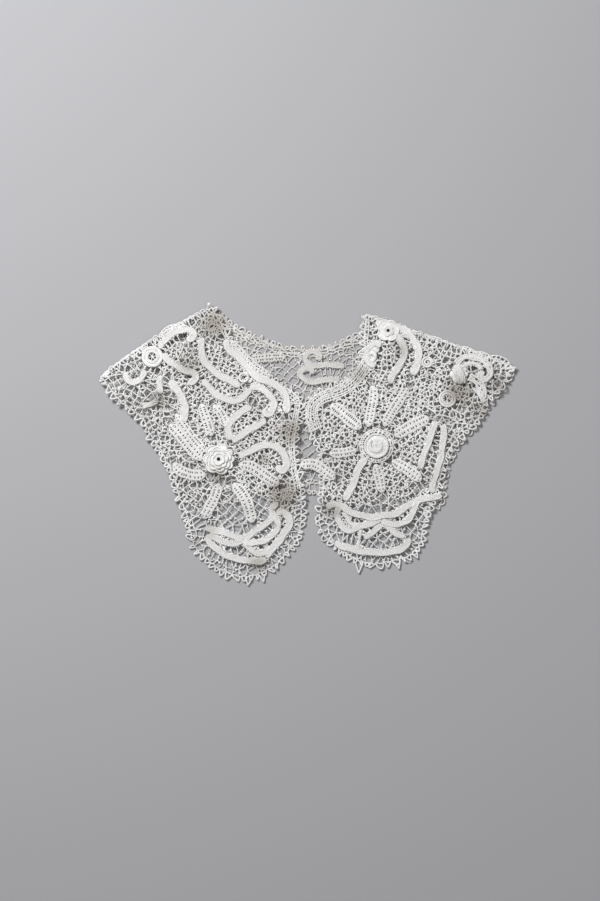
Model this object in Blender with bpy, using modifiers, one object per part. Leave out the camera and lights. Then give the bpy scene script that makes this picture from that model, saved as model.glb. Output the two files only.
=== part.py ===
"""Crocheted lace collar, folded along both shoulders and laid flat, fronts over back.

Tables and sizes are in millimetres and the meshes in metres. +X runs to the right as
the collar is looked at, +Y towards the back of the neck, +Z up from the surface it
lies on, which is z = 0. The origin is under the middle of the collar.
"""

import math
from collections import namedtuple

import bmesh
import bpy
import numpy as np
from mathutils import Vector
from mathutils.bvhtree import BVHTree

MM = 0.001

# The middle of the tables' outline, which is put over the origin
MIDDLE = (0.18, -0.36)

# Walls and gaps
WALL = 1.4
SEAM_GAP = 0.35
LAYER_GAP = 0.5
MOTIF_GAP = 0.42
UPPER_LEVEL = WALL + LAYER_GAP

# Picot edging: its reach from the tips of its picots in to the wall
PICOT_REACH = 4.0
PICOT_ROOT = 1.4

# Shoulder fold: the front rolls over the back's edge within this distance
FOLD_ROLL = 3.2
FOLD_LOW = 0.72
FOLD_ROWS = (0.0, 0.11, 0.32)
TRIM_SHARE = 0.1
END_SHARE = 0.07

# Where a front comes down from the back to the surface, measured out from the back's hem
DROP_START = 6.5
DROP_LENGTH = 12.0

# Net: the narrowest and widest gap cut, the bar left between gaps, and how far a gap's
# middle keeps from a motif
SMALLEST_CUT = 4.2
LARGEST_CUT = 6.6
NET_BAR = 3.2
MOTIF_CLEAR = 3.4

# Worked cords, leaves and roses
CORD_WIDTH = 5.4
CORD_HEIGHT = 2.2
LEAF_HEIGHT = 1.5
STATION = 7.0

COTTON = (0.80, 0.785, 0.75)
COTTON_ROUGHNESS = 0.88

Row = namedtuple("Row", "inner_x inner_y outer_x outer_y bow")
Fold = namedtuple("Fold", "x y angle length width height")
Cord = namedtuple("Cord", "name x0 y0 x1 y1 bow curl")
Leaf = namedtuple("Leaf", "name x0 y0 x1 y1 bow width")
Disc = namedtuple("Disc", "name x y radius lobes kind")

# Each row of a front runs from its neck or centre edge to its outer edge, at the picots'
# tips. The first row is the shoulder fold, the last the bottom of the lobe. bow is how
# far the row's middle is carried towards the lobe.
LEFT_ROWS = (
    Row(-83.5, 118.5, -180.0, 58.0, -3.5),
    Row(-75.5, 98.5, -165.5, 34.5, -1.0),
    Row(-62.5, 80.5, -148.0, 19.5, 1.5),
    Row(-43.5, 65.0, -137.5, 0.5, 3.5),
    Row(-23.5, 54.5, -128.0, -15.0, 5.0),
    Row(-8.5, 39.5, -121.0, -28.5, 5.0),
    Row(-7.0, 22.0, -116.5, -45.5, 5.0),
    Row(-8.5, 3.0, -110.5, -59.5, 3.5),
    Row(-7.0, -16.0, -106.0, -78.0, 2.0),
    Row(-3.5, -33.5, -101.5, -93.5, 2.5),
    Row(-1.5, -52.0, -90.5, -103.0, 5.0),
    Row(-2.5, -68.5, -80.0, -112.0, 6.0),
    Row(-7.0, -84.0, -68.0, -117.0, 4.5),
    Row(-15.0, -98.0, -55.5, -121.5, 5.0),
)
RIGHT_ROWS = (
    Row(50.5, 111.8, 180.5, 66.6, -2.5),
    Row(46.0, 90.0, 172.5, 48.5, 0.0),
    Row(43.5, 74.5, 158.5, 34.5, 1.5),
    Row(32.0, 56.0, 150.5, 18.5, 3.5),
    Row(17.5, 43.0, 134.0, 2.0, 5.0),
    Row(4.5, 31.0, 124.5, -11.5, 5.0),
    Row(2.0, 14.5, 120.0, -25.5, 5.0),
    Row(6.0, -2.0, 117.5, -38.5, 3.5),
    Row(8.0, -18.5, 113.0, -49.0, 2.0),
    Row(9.5, -34.5, 108.0, -61.5, 2.5),
    Row(8.0, -49.0, 104.5, -73.5, 4.0),
    Row(5.5, -66.5, 102.5, -86.5, 6.0),
    Row(10.5, -79.5, 93.0, -98.0, 6.5),
    Row(20.0, -92.0, 82.0, -106.0, 9.0),
)
# Each row of the back runs from its neck edge to its hem, from one shoulder to the other.
BACK_ROWS = (
    Row(-81.5, 115.5, -177.5, 54.5, -3.5),
    Row(-75.0, 114.0, -158.5, 31.0, 0.0),
    Row(-65.0, 107.5, -141.0, 12.0, 0.0),
    Row(-54.0, 99.0, -126.0, -12.5, 0.0),
    Row(-42.0, 92.0, -115.0, -35.0, 0.0),
    Row(-29.0, 88.5, -106.0, -52.0, 0.0),
    Row(-20.0, 86.5, -81.0, -55.0, 0.0),
    Row(-12.0, 85.5, -50.0, -49.0, 0.0),
    Row(-3.5, 85.5, -20.0, -44.0, 0.0),
    Row(6.0, 85.5, 8.5, -46.5, 0.0),
    Row(15.0, 86.5, 36.5, -51.0, 0.0),
    Row(22.5, 89.0, 67.0, -56.0, 0.0),
    Row(30.5, 92.5, 97.5, -59.5, 0.0),
    Row(36.5, 95.5, 117.0, -57.0, 0.0),
    Row(41.0, 98.0, 121.5, -33.0, 0.0),
    Row(44.5, 102.0, 129.0, -10.5, 0.0),
    Row(47.0, 105.5, 147.5, 13.5, 0.0),
    Row(48.5, 107.0, 162.5, 36.0, 0.0),
    Row(49.5, 108.0, 178.5, 62.5, 2.5),
)

# Soft ridges where the doubled lace stands up from the surface
FOLDS = (
    Fold(-90.0, 98.0, 25.0, 30.0, 20.0, 2.2),
    Fold(-122.0, 70.0, 32.0, 55.0, 21.0, 2.2),
    Fold(-150.0, 42.0, -38.0, 30.0, 19.0, 1.4),
    Fold(-20.0, 12.0, -28.0, 30.0, 20.0, 2.4),
    Fold(-22.0, -42.0, 28.0, 30.0, 21.0, 2.2),
    Fold(-72.0, -22.0, 10.0, 30.0, 21.0, 1.6),
    Fold(-62.0, -86.0, -20.0, 42.0, 20.0, 1.6),
    Fold(74.0, 86.0, -20.0, 40.0, 20.0, 2.2),
    Fold(132.0, 56.0, -22.0, 42.0, 21.0, 2.6),
    Fold(60.0, 0.0, 12.0, 38.0, 25.0, 1.6),
    Fold(104.0, -8.0, 74.0, 42.0, 19.0, 2.0),
    Fold(40.0, -58.0, -18.0, 30.0, 20.0, 2.0),
    Fold(66.0, -84.0, 4.0, 44.0, 20.0, 1.4),
)

# A cord or leaf is an arc from its first point to its second that bulges bow to its left.
# A cord with a curl goes on at its second point as a hook of that radius, to its left
# where the radius is positive.
LEFT_CORDS = (
    Cord("cord_left_01", -62.0, -6.0, -21.0, -10.5, 12.5, -4.6),
    Cord("cord_left_02", -77.0, 6.0, -55.0, 33.0, 6.0, 0.0),
    Cord("cord_left_03", -67.0, 5.0, -40.0, 22.5, -1.5, 0.0),
    Cord("cord_left_04", -91.5, 93.0, -64.0, 55.0, -8.0, 0.0),
    Cord("cord_left_05", -76.0, 83.0, -47.5, 62.5, -2.5, 0.0),
    Cord("cord_left_06", -92.0, 57.0, -58.0, 42.5, -7.0, 0.0),
    Cord("cord_left_07", -50.5, 50.5, -36.5, 25.5, 8.0, 0.0),
    Cord("cord_left_08", -43.0, 57.5, -17.5, 26.0, 8.5, 0.0),
    Cord("cord_left_09", -128.0, 86.5, -105.0, 99.5, 1.5, -4.6),
    Cord("cord_left_10", -126.0, 69.0, -98.0, 56.0, -1.0, 0.0),
    Cord("cord_left_11", -138.5, 64.5, -162.0, 61.5, 4.5, 0.0),
    Cord("cord_left_12", -88.5, -70.0, -30.0, -68.5, -14.5, 0.0),
    Cord("cord_left_13", -85.0, -80.5, -27.5, -78.0, -11.5, 0.0),
    Cord("cord_left_14", -83.0, -88.5, -39.0, -100.5, -6.0, 0.0),
    Cord("cord_left_15", -33.0, -95.0, -16.5, -67.0, -4.0, 4.8),
)
RIGHT_CORDS = (
    Cord("cord_right_01", 108.5, 14.0, 100.0, -13.0, -2.5, 0.0),
    Cord("cord_right_02", 117.5, 8.5, 108.0, -38.5, 2.0, 0.0),
    Cord("cord_right_03", 30.5, -57.5, 110.0, -47.0, -10.5, 0.0),
    Cord("cord_right_04", 34.0, -66.0, 87.5, -65.0, -6.0, 0.0),
    Cord("cord_right_05", 45.5, -84.0, 83.5, -82.5, 6.5, 0.0),
    Cord("cord_right_06", 26.0, -83.0, 86.5, -86.5, -9.5, 0.0),
    Cord("cord_right_07", 84.0, 94.0, 89.0, 60.0, 8.0, 0.0),
    Cord("cord_right_08", 74.5, 83.5, 76.0, 60.0, 5.5, 0.0),
    Cord("cord_right_09", 124.5, 73.0, 155.0, 62.0, 7.0, -6.0),
    Cord("cord_right_10", 144.0, 48.5, 153.0, 35.5, 1.5, 0.0),
)
BACK_CORDS = (
    Cord("scroll_back_1", 31.0, 66.5, 8.0, 67.5, 1.5, -5.0),
    Cord("scroll_back_2", 25.5, 55.0, 3.0, 53.0, 1.5, -5.0),
)
LEFT_LEAVES = (
    Leaf("leaf_left_1", -117.0, -19.0, -93.0, -23.5, -9.0, 8.5),
    Leaf("leaf_left_2", -85.5, -30.5, -99.5, -59.0, 1.5, 8.5),
    Leaf("leaf_left_3", -73.5, -30.5, -54.5, -64.5, -2.0, 8.5),
    Leaf("leaf_left_4", -61.5, -16.5, -24.0, -40.0, 1.5, 9.5),
    Leaf("leaf_left_5", -91.0, -5.5, -127.0, 29.5, 1.0, 9.5),
    Leaf("leaf_left_6", -84.5, 4.5, -100.5, 41.0, 1.0, 9.0),
)
RIGHT_LEAVES = (
    Leaf("leaf_right_1", 56.0, 16.5, 51.0, 47.5, 1.0, 9.0),
    Leaf("leaf_right_2", 66.5, 15.5, 79.5, 44.0, 1.0, 9.0),
    Leaf("leaf_right_3", 75.5, 6.5, 101.5, 20.5, 1.0, 9.0),
    Leaf("leaf_right_4", 44.0, 7.5, 18.0, 29.0, 1.0, 9.0),
    Leaf("leaf_right_5", 42.0, -5.5, 18.0, -8.0, 1.0, 8.5),
    Leaf("leaf_right_6", 17.5, -25.5, 40.0, -24.0, -3.0, 8.5),
    Leaf("leaf_right_7", 60.0, -20.0, 68.5, -55.0, 0.5, 9.0),
    Leaf("leaf_right_8", 72.0, -13.0, 98.5, -34.0, 0.5, 9.5),
    Leaf("leaf_right_9", 50.5, -16.5, 36.0, -48.0, 0.5, 7.0),
)
BACK_LEAVES = (Leaf("leaf_back", -46.0, 72.5, -19.5, 76.0, -1.0, 7.5),)
LEFT_DISCS = (
    Disc("rose_left", -77.5, -13.5, 13.0, 8, "rose"),
    Disc("wheel_left", -135.0, 75.5, 7.6, 0, "ring"),
    Disc("ring_left", -55.8, 57.4, 4.2, 0, "ring"),
)
RIGHT_DISCS = (
    Disc("medallion_right", 59.5, -2.0, 14.5, 0, "medallion"),
    Disc("flower_right", 71.0, 94.0, 7.2, 5, "flower"),
    Disc("rosette_right", 56.0, 76.5, 7.4, 0, "ring"),
    Disc("bud_right", 103.5, 69.0, 4.6, 0, "bud"),
    Disc("rose_right", 131.5, 60.0, 7.4, 6, "rose"),
    Disc("ring_right", 120.0, 40.0, 7.2, 0, "ring"),
)

# Radius and height of each ring of a turned motif, as shares of its radius, from the
# middle of its underside out, up and back to its middle.
TURNED = {
    "rose": ((0.5, 0.0), (0.94, 0.0), (1.0, 0.10), (0.70, 0.17), (0.72, 0.28),
             (0.42, 0.30), (0.44, 0.40), (0.16, 0.36), (0.10, 0.20)),
    "medallion": ((0.5, 0.0), (1.0, 0.0), (1.0, 0.08), (0.74, 0.09), (0.70, 0.19),
                  (0.55, 0.24), (0.2, 0.22)),
    "flower": ((0.5, 0.0), (1.0, 0.0), (1.0, 0.16), (0.55, 0.24), (0.22, 0.16)),
    "bud": ((0.5, 0.0), (1.0, 0.0), (0.95, 0.30), (0.5, 0.5)),
}
RING_BAND = 0.46
RING_HEIGHT = 2.1
RING_SECTIONS = 12


def clear_scene():
    for obj in list(bpy.data.objects):
        bpy.data.objects.remove(obj, do_unlink=True)


def cotton(name, shade):
    material = bpy.data.materials.new(name)
    material.use_nodes = True
    shader = material.node_tree.nodes["Principled BSDF"]
    colour = [channel * shade for channel in COTTON]
    shader.inputs["Base Color"].default_value = (*colour, 1.0)
    shader.inputs["Roughness"].default_value = COTTON_ROUGHNESS
    shader.inputs["Metallic"].default_value = 0.0
    return material


def add_object(name, bm, collection, shade=1.0):
    """Turns bm, in millimetres, into a named object with its own material."""
    bmesh.ops.translate(bm, vec=(-MIDDLE[0], -MIDDLE[1], 0.0), verts=bm.verts)
    bmesh.ops.scale(bm, vec=(MM, MM, MM), verts=bm.verts)
    bmesh.ops.recalc_face_normals(bm, faces=bm.faces)
    mesh = bpy.data.meshes.new(name)
    bm.to_mesh(mesh)
    bm.free()
    mesh.materials.append(cotton("cotton_" + name, shade))
    obj = bpy.data.objects.new(name, mesh)
    collection.objects.link(obj)
    return obj


def smooth_row(rows, place):
    """The table's row at a place between 0 and 1, on a smooth curve through its rows."""
    table = np.array(rows)
    at = place * (len(table) - 1)
    k = min(int(at), len(table) - 2)
    t = at - k
    before, after = table[max(k - 1, 0)], table[min(k + 2, len(table) - 1)]
    a, b = table[k], table[k + 1]
    return 0.5 * (
        2 * a + (b - before) * t + (2 * before - 5 * a + 4 * b - after) * t * t
        + (3 * a - before - 3 * b + after) * t ** 3
    )


def panel_grid(rows, places, shares, trims, closed_end):
    """Points in plan, [row][column][x, y]. trims is how far the wall stays inside the
    table's inner and outer edges away from a shoulder fold, and closed_end how far
    inside its last row."""
    grid = []
    for place in places:
        row = Row(*smooth_row(rows, place))
        ahead = Row(*smooth_row(rows, min(place + 0.02, 1.0)))
        behind = Row(*smooth_row(rows, max(place - 0.02, 0.0)))
        onward = np.array([ahead.inner_x + ahead.outer_x - behind.inner_x - behind.outer_x,
                           ahead.inner_y + ahead.outer_y - behind.inner_y - behind.outer_y])
        onward /= np.linalg.norm(onward)
        inner = np.array([row.inner_x, row.inner_y])
        outer = np.array([row.outer_x, row.outer_y])
        along = (outer - inner) / np.linalg.norm(outer - inner)
        from_fold = min(1.0, place / TRIM_SHARE)
        if not closed_end:
            from_fold = min(from_fold, (1 - place) / TRIM_SHARE)
        inner = inner + along * trims[0] * from_fold
        outer = outer - along * trims[1] * from_fold
        back_off = closed_end * max(0.0, 1 - (1 - place) / END_SHARE)
        grid.append([
            inner + (outer - inner) * share
            + onward * (row.bow * 4 * share * (1 - share) - back_off)
            for share in shares
        ])
    return np.array(grid)


def border(grid):
    """The grid's border in plan, once round."""
    return np.concatenate([grid[:, 0], grid[-1, 1:], grid[-2::-1, -1], grid[0, -2:0:-1]])


def outside_distance(point, loop):
    """How far a point lies outside a closed outline; 0 inside it."""
    nxt = np.roll(loop, -1, axis=0)
    edge = nxt - loop
    to_point = point - loop
    share = np.clip((to_point * edge).sum(1) / (edge * edge).sum(1), 0, 1)
    near = np.linalg.norm(to_point - edge * share[:, None], axis=1).min()
    above = (loop[:, 1] > point[1]) != (nxt[:, 1] > point[1])
    rise = np.where(edge[:, 1] == 0, 1.0, edge[:, 1])
    crossing = loop[:, 0] + (point[1] - loop[:, 1]) * edge[:, 0] / rise
    inside = np.count_nonzero(above & (point[0] < crossing)) % 2 == 1
    return 0.0 if inside else near


def ridge_height(x, y):
    """How far the soft folds raise the lace here."""
    height = 0.0
    for fold in FOLDS:
        turn = math.radians(fold.angle)
        dx, dy = x - fold.x, y - fold.y
        along = dx * math.cos(turn) + dy * math.sin(turn)
        across = dy * math.cos(turn) - dx * math.sin(turn)
        falloff = (along / fold.length) ** 2 + (across / fold.width) ** 2
        height += fold.height * math.exp(-falloff)
    return height


def line_distance(point, line):
    a, edge = line[:-1], line[1:] - line[:-1]
    share = np.clip(((point - a) * edge).sum(1) / (edge * edge).sum(1), 0, 1)
    return np.linalg.norm(point - a - edge * share[:, None], axis=1).min()


def front_height(x, y, back_outline, fold_line):
    """Middle of a front's wall: on the back, down to the surface past its hem, and
    rolled over at the shoulder fold."""
    past = outside_distance(np.array([x, y]), back_outline)
    drop = min(max((past - DROP_START) / DROP_LENGTH, 0.0), 1.0)
    level = UPPER_LEVEL * (1 - drop * drop * (3 - 2 * drop))
    top = WALL / 2 + level + ridge_height(x, y)
    off = line_distance(np.array([x, y]), fold_line)
    if off >= FOLD_ROLL:
        return top
    roll = math.sqrt(1 - (1 - off / FOLD_ROLL) ** 2)
    return FOLD_LOW + (top - FOLD_LOW) * roll


def arc(motif):
    """Points in plan along a cord or leaf, about one for each STATION."""
    start, end = np.array([motif.x0, motif.y0]), np.array([motif.x1, motif.y1])
    chord = np.linalg.norm(end - start)
    left = np.array([start[1] - end[1], end[0] - start[0]]) / chord
    steps = max(3, round(chord / STATION))
    share = np.linspace(0, 1, steps + 1)[:, None]
    return start + (end - start) * share + left * motif.bow * 4 * share * (1 - share)


def cord_path(cord):
    """The cord's arc, and its hook where it has one."""
    path = arc(cord)
    if not cord.curl:
        return path
    heading = path[-1] - path[-2]
    angle = math.atan2(heading[1], heading[0])
    side = math.copysign(1, cord.curl)
    radius = abs(cord.curl)
    centre = path[-1] + radius * side * np.array([-math.sin(angle), math.cos(angle)])
    first = angle - side * math.pi / 2
    turns = np.radians(np.arange(36, 217, 36))
    hook = [centre + radius * np.array([math.cos(first + side * t), math.sin(first + side * t)])
            for t in turns]
    return np.concatenate([path, hook])


def motif_paths(cords, leaves):
    """Middle line and half width of each cord and leaf."""
    lines = [(cord_path(c), CORD_WIDTH / 2) for c in cords]
    return lines + [(arc(leaf), leaf.width / 2) for leaf in leaves]


def under_motif(point, lines, discs):
    """True where a motif lies on the net, so that the net isn't cut there."""
    if any(line_distance(point, line) < half + MOTIF_CLEAR for line, half in lines):
        return True
    return any(math.hypot(point[0] - d.x, point[1] - d.y) < d.radius + MOTIF_CLEAR for d in discs)


def cut_net(bm, first_row, lines, discs, most):
    """Cuts a gap through each clear cell of the net from row first_row on."""
    chosen = []
    for face in bm.faces:
        if face.material_index < first_row:
            continue
        corners = [v.co for v in face.verts]
        wide = ((corners[1] - corners[0]).length + (corners[2] - corners[3]).length) / 2
        deep = ((corners[3] - corners[0]).length + (corners[2] - corners[1]).length) / 2
        centre = face.calc_center_median()
        if min(wide, deep) - NET_BAR < SMALLEST_CUT:
            continue
        if under_motif(np.array([centre.x, centre.y]), lines, discs):
            continue
        chosen.append((min(wide, deep), face))
    chosen.sort(key=lambda pair: -pair[0])
    faces = [face for _, face in chosen[:most]]
    for face in faces:
        narrowest = min(edge.calc_length() for edge in face.edges)
        bar = max(NET_BAR, narrowest - LARGEST_CUT)
        bmesh.ops.inset_individual(bm, faces=[face], thickness=bar / 2, use_even_offset=True)
    bmesh.ops.delete(bm, geom=faces, context="FACES")
    return len(faces)


def net_panel(name, grid, heights, collection, cut):
    """A wall of crocheted net on a grid of points. cut is the first row that has gaps,
    the motifs that lie on the net, and the most gaps."""
    bm = bmesh.new()
    verts = [[bm.verts.new((*grid[i][j], heights[i][j])) for j in range(len(grid[i]))]
             for i in range(len(grid))]
    for i in range(len(verts) - 1):
        for j in range(len(verts[i]) - 1):
            face = bm.faces.new((verts[i][j], verts[i][j + 1], verts[i + 1][j + 1],
                                 verts[i + 1][j]))
            face.material_index = i
    cut_net(bm, *cut)
    for face in bm.faces:
        face.material_index = 0
    obj = add_object(name, bm, collection)
    solidify = obj.modifiers.new("wall", "SOLIDIFY")
    solidify.thickness = WALL * MM
    solidify.offset = 0.0
    return obj


def surface_of(grid, heights):
    """The panel's uncut middle surface, to find what a motif lies on."""
    rows, columns = len(grid), len(grid[0])
    verts = [Vector((*grid[i][j], heights[i][j])) for i in range(rows) for j in range(columns)]
    faces = [(i * columns + j, i * columns + j + 1, (i + 1) * columns + j + 1,
              (i + 1) * columns + j) for i in range(rows - 1) for j in range(columns - 1)]
    return BVHTree.FromPolygons(verts, faces)


def resting_height(surface, x, y):
    """The underside of a motif on that panel."""
    hit, normal, _, _ = surface.ray_cast(Vector((x, y, 100.0)), Vector((0, 0, -1)))
    if hit is None:
        hit, normal, _, _ = surface.find_nearest(Vector((x, y, UPPER_LEVEL)))
    return hit.z + WALL / 2 / max(abs(normal.z), 0.8) + MOTIF_GAP


def loft(name, sections, surface, collection, closed, shade):
    """A solid through sections of (x, y, height above the panel)."""
    bm = bmesh.new()
    rings = [[bm.verts.new((x, y, resting_height(surface, x, y) + h)) for x, y, h in section]
             for section in sections]
    pairs = list(zip(rings, rings[1:]))
    if closed:
        pairs.append((rings[-1], rings[0]))
    count = len(rings[0])
    for a, b in pairs:
        for k in range(count):
            bm.faces.new((a[k], a[(k + 1) % count], b[(k + 1) % count], b[k]))
    if not closed:
        bm.faces.new(rings[0])
        bm.faces.new(list(reversed(rings[-1])))
    return add_object(name, bm, collection, shade)


# Place across and height of each point of a section, as shares of half its width and
# of its height
CORD_SECTION = ((-1.0, 0.0), (1.0, 0.0), (0.78, 0.72), (0.0, 1.0), (-0.78, 0.72))
LEAF_SECTION = ((-1.0, 0.0), (1.0, 0.0), (0.84, 0.85), (-0.84, 0.85))


def across(path):
    """The direction across a path at each of its points."""
    heading = np.gradient(path, axis=0)
    heading /= np.linalg.norm(heading, axis=1)[:, None]
    return np.stack([-heading[:, 1], heading[:, 0]], axis=1)


def strip(name, path, halves, height, profile, surface, collection, shade):
    side = across(path)
    sections = []
    for point, out, half in zip(path, side, halves):
        sections.append([(*(point + out * half * s), height * h) for s, h in profile])
    return loft(name, sections, surface, collection, False, shade)


def make_cord(cord, surface, collection):
    path = cord_path(cord)
    halves = np.full(len(path), CORD_WIDTH / 2)
    halves[0] *= 0.72
    halves[-1] *= 0.72
    return strip(cord.name, path, halves, CORD_HEIGHT, CORD_SECTION, surface, collection, 1.04)


def make_leaf(leaf, surface, collection):
    path = arc(leaf)
    share = np.linspace(0, 1, len(path))
    halves = leaf.width / 2 * (0.38 + 0.62 * np.sin(np.pi * share) ** 0.7)
    return strip(leaf.name, path, halves, LEAF_HEIGHT, LEAF_SECTION, surface, collection, 1.0)


def make_ring(disc, surface, collection):
    """A worked ring round an open middle."""
    sections = []
    for angle in np.linspace(0, 2 * math.pi, RING_SECTIONS, endpoint=False):
        out = np.array([math.cos(angle), math.sin(angle)])
        centre = np.array([disc.x, disc.y])
        inner = centre + out * disc.radius * (1 - RING_BAND)
        outer = centre + out * disc.radius
        crest = centre + out * disc.radius * (1 - RING_BAND / 2)
        sections.append([(*inner, 0.0), (*outer, 0.0), (*crest, RING_HEIGHT)])
    return loft(disc.name, sections, surface, collection, True, 1.04)


def make_turned(disc, surface, collection):
    """A rose, flower, bud or medallion from its turned profile, scalloped by its lobes."""
    around = max(12, disc.lobes * 2)
    bm = bmesh.new()

    def point(angle, radius, height):
        scallop = 1 + 0.05 * math.cos(disc.lobes * angle) if disc.lobes else 1.0
        x = disc.x + math.cos(angle) * radius * scallop
        y = disc.y + math.sin(angle) * radius * scallop
        return bm.verts.new((x, y, resting_height(surface, x, y) + height))

    profile = TURNED[disc.kind]
    rings = [[point(a, disc.radius * r, disc.radius * h)
              for a in np.linspace(0, 2 * math.pi, around, endpoint=False)] for r, h in profile]
    under = bm.verts.new((disc.x, disc.y, resting_height(surface, disc.x, disc.y)))
    top_height = disc.radius * profile[-1][1]
    over = bm.verts.new((disc.x, disc.y, under.co.z + top_height))
    for a, b in zip(rings, rings[1:]):
        for k in range(around):
            bm.faces.new((a[k], a[(k + 1) % around], b[(k + 1) % around], b[k]))
    for k in range(around):
        bm.faces.new((under, rings[0][(k + 1) % around], rings[0][k]))
        bm.faces.new((over, rings[-1][k], rings[-1][(k + 1) % around]))
    return add_object(disc.name, bm, collection, 1.02)


def edging(name, line, turn, samples, collection):
    """Picot edging along the wall's edge, a picot for every second sample. line is
    [x, y, z] of the edge, turn 1 where the outside is on its left, else -1, and samples
    the points to a row of the net."""
    line = np.array(line)
    plan = line[:, :2]
    outward = across(plan) * turn
    leg = np.diff(plan, axis=0)
    for k in range(1, len(plan) - 1):
        a = leg[k - 1] / np.linalg.norm(leg[k - 1])
        b = leg[k] / np.linalg.norm(leg[k])
        miter = np.array([-(a + b)[1], (a + b)[0]]) * turn
        miter /= np.linalg.norm(miter)
        outward[k] = miter / max(miter @ (np.array([-a[1], a[0]]) * turn), 0.6)
    sections = []
    steps = (len(plan) - 1) * samples
    for step in range(steps + 1):
        at = step / samples
        k = min(int(at), len(plan) - 2)
        t = at - k
        base = line[k] * (1 - t) + line[k + 1] * t
        out = outward[k] * (1 - t) + outward[k + 1] * t
        reach = PICOT_REACH if step % 2 and step < steps else SEAM_GAP + PICOT_ROOT
        near, far = base[:2] + out * SEAM_GAP, base[:2] + out * reach
        low, high = base[2] - WALL / 2, base[2] + WALL / 2
        sections.append(((*near, low), (*far, low), (*far, high), (*near, high)))
    bm = bmesh.new()
    rings = [[bm.verts.new(p) for p in section] for section in sections]
    for a, b in zip(rings, rings[1:]):
        for k in range(4):
            bm.faces.new((a[k], a[(k + 1) % 4], b[(k + 1) % 4], b[k]))
    bm.faces.new(rings[0])
    bm.faces.new(list(reversed(rings[-1])))
    return add_object(name, bm, collection, 1.0)


def edge_line(grid, heights, cells):
    return [(*grid[i][j], heights[i][j]) for i, j in cells]


def add_motifs(cords, leaves, discs, surface, collection):
    for cord in cords:
        make_cord(cord, surface, collection)
    for leaf in leaves:
        make_leaf(leaf, surface, collection)
    for disc in discs:
        maker = make_ring if disc.kind == "ring" else make_turned
        maker(disc, surface, collection)


# Rows and columns of net cells, the edging's points to a row, and the most gaps cut
BACK_NET_ROWS = 27
BACK_COLUMNS = 11
BACK_NARROWING = 1.3
BACK_SAMPLES = 2
BACK_CUTS = 66
FRONT_NET_ROWS = 22
FRONT_COLUMNS = 11
FRONT_SAMPLES = 3
FRONT_CUTS = 112


def make_back(collection):
    places = np.linspace(0, 1, BACK_NET_ROWS + 1)
    shares = np.linspace(0, 1, BACK_COLUMNS + 1) ** BACK_NARROWING
    grid = panel_grid(BACK_ROWS, places, shares, (PICOT_REACH, PICOT_REACH), 0.0)
    heights = np.full(grid.shape[:2], WALL / 2)
    motifs = (motif_paths(BACK_CORDS, BACK_LEAVES), ())
    net_panel("back", grid, heights, collection, (0, *motifs, BACK_CUTS))
    surface = surface_of(grid, heights)
    add_motifs(BACK_CORDS, BACK_LEAVES, (), surface, collection)
    ends = range(1, BACK_NET_ROWS)
    neck = edge_line(grid, heights, [(i, 0) for i in ends])
    hem = edge_line(grid, heights, [(i, BACK_COLUMNS) for i in ends])
    edging("edging_back_neck", neck, 1, BACK_SAMPLES, collection)
    edging("edging_back_hem", hem, -1, BACK_SAMPLES, collection)
    return border(grid)


def make_front(side, rows, back_outline, cords, leaves, discs, collection):
    whole = np.linspace(0, 1, FRONT_NET_ROWS + 1)
    places = np.concatenate([np.array(FOLD_ROWS) / FRONT_NET_ROWS, whole[1:]])
    shares = np.linspace(0, 1, FRONT_COLUMNS + 1)
    grid = panel_grid(rows, places, shares, (PICOT_REACH, PICOT_REACH), PICOT_REACH)
    fold_line = grid[0]
    heights = np.array([[front_height(x, y, back_outline, fold_line) for x, y in row]
                        for row in grid])
    first = len(FOLD_ROWS)
    motifs = (motif_paths(cords, leaves), discs)
    net_panel("front_" + side, grid, heights, collection, (first, *motifs, FRONT_CUTS))
    surface = surface_of(grid, heights)
    add_motifs(cords, leaves, discs, surface, collection)
    last = len(grid) - 1
    round_edge = [(i, 0) for i in range(first, last + 1)]
    round_edge += [(last, j) for j in range(1, FRONT_COLUMNS + 1)]
    round_edge += [(i, FRONT_COLUMNS) for i in range(last - 1, first - 1, -1)]
    turn = 1 if side == "left" else -1
    edging("edging_front_" + side, edge_line(grid, heights, round_edge), turn, FRONT_SAMPLES,
           collection)


def main():
    clear_scene()
    collection = bpy.data.collections.new("lace_collar")
    bpy.context.scene.collection.children.link(collection)
    outline = make_back(collection)
    make_front("left", LEFT_ROWS, outline, LEFT_CORDS, LEFT_LEAVES, LEFT_DISCS, collection)
    make_front("right", RIGHT_ROWS, outline, RIGHT_CORDS, RIGHT_LEAVES, RIGHT_DISCS, collection)


main()
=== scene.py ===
"""The crochet collar's looks, stitch by stitch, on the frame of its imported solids.

Sizes are in millimetres, and a mesh is scaled to metres as it is made. The tables of rows,
folds and motifs start from those of the solids. Some rows of the panels lie where the photo
shows them, and a few bands at the ends of the tables are in this file only.
"""

import math
from collections import namedtuple

import bpy
import numpy as np
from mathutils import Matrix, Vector
from mathutils.geometry import delaunay_2d_cdt


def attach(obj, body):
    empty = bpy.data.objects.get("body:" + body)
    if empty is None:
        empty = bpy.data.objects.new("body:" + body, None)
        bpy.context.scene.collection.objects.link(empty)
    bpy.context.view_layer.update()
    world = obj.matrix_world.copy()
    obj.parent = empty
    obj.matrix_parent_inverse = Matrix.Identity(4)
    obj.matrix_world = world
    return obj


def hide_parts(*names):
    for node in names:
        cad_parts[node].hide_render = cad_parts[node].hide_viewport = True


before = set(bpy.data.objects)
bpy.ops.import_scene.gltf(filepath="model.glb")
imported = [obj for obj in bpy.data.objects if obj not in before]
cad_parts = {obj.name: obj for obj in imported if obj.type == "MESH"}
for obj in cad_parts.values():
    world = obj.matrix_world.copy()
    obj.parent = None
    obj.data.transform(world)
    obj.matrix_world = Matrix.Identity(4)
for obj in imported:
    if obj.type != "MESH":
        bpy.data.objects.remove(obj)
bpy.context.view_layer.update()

MM = 0.001

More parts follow.
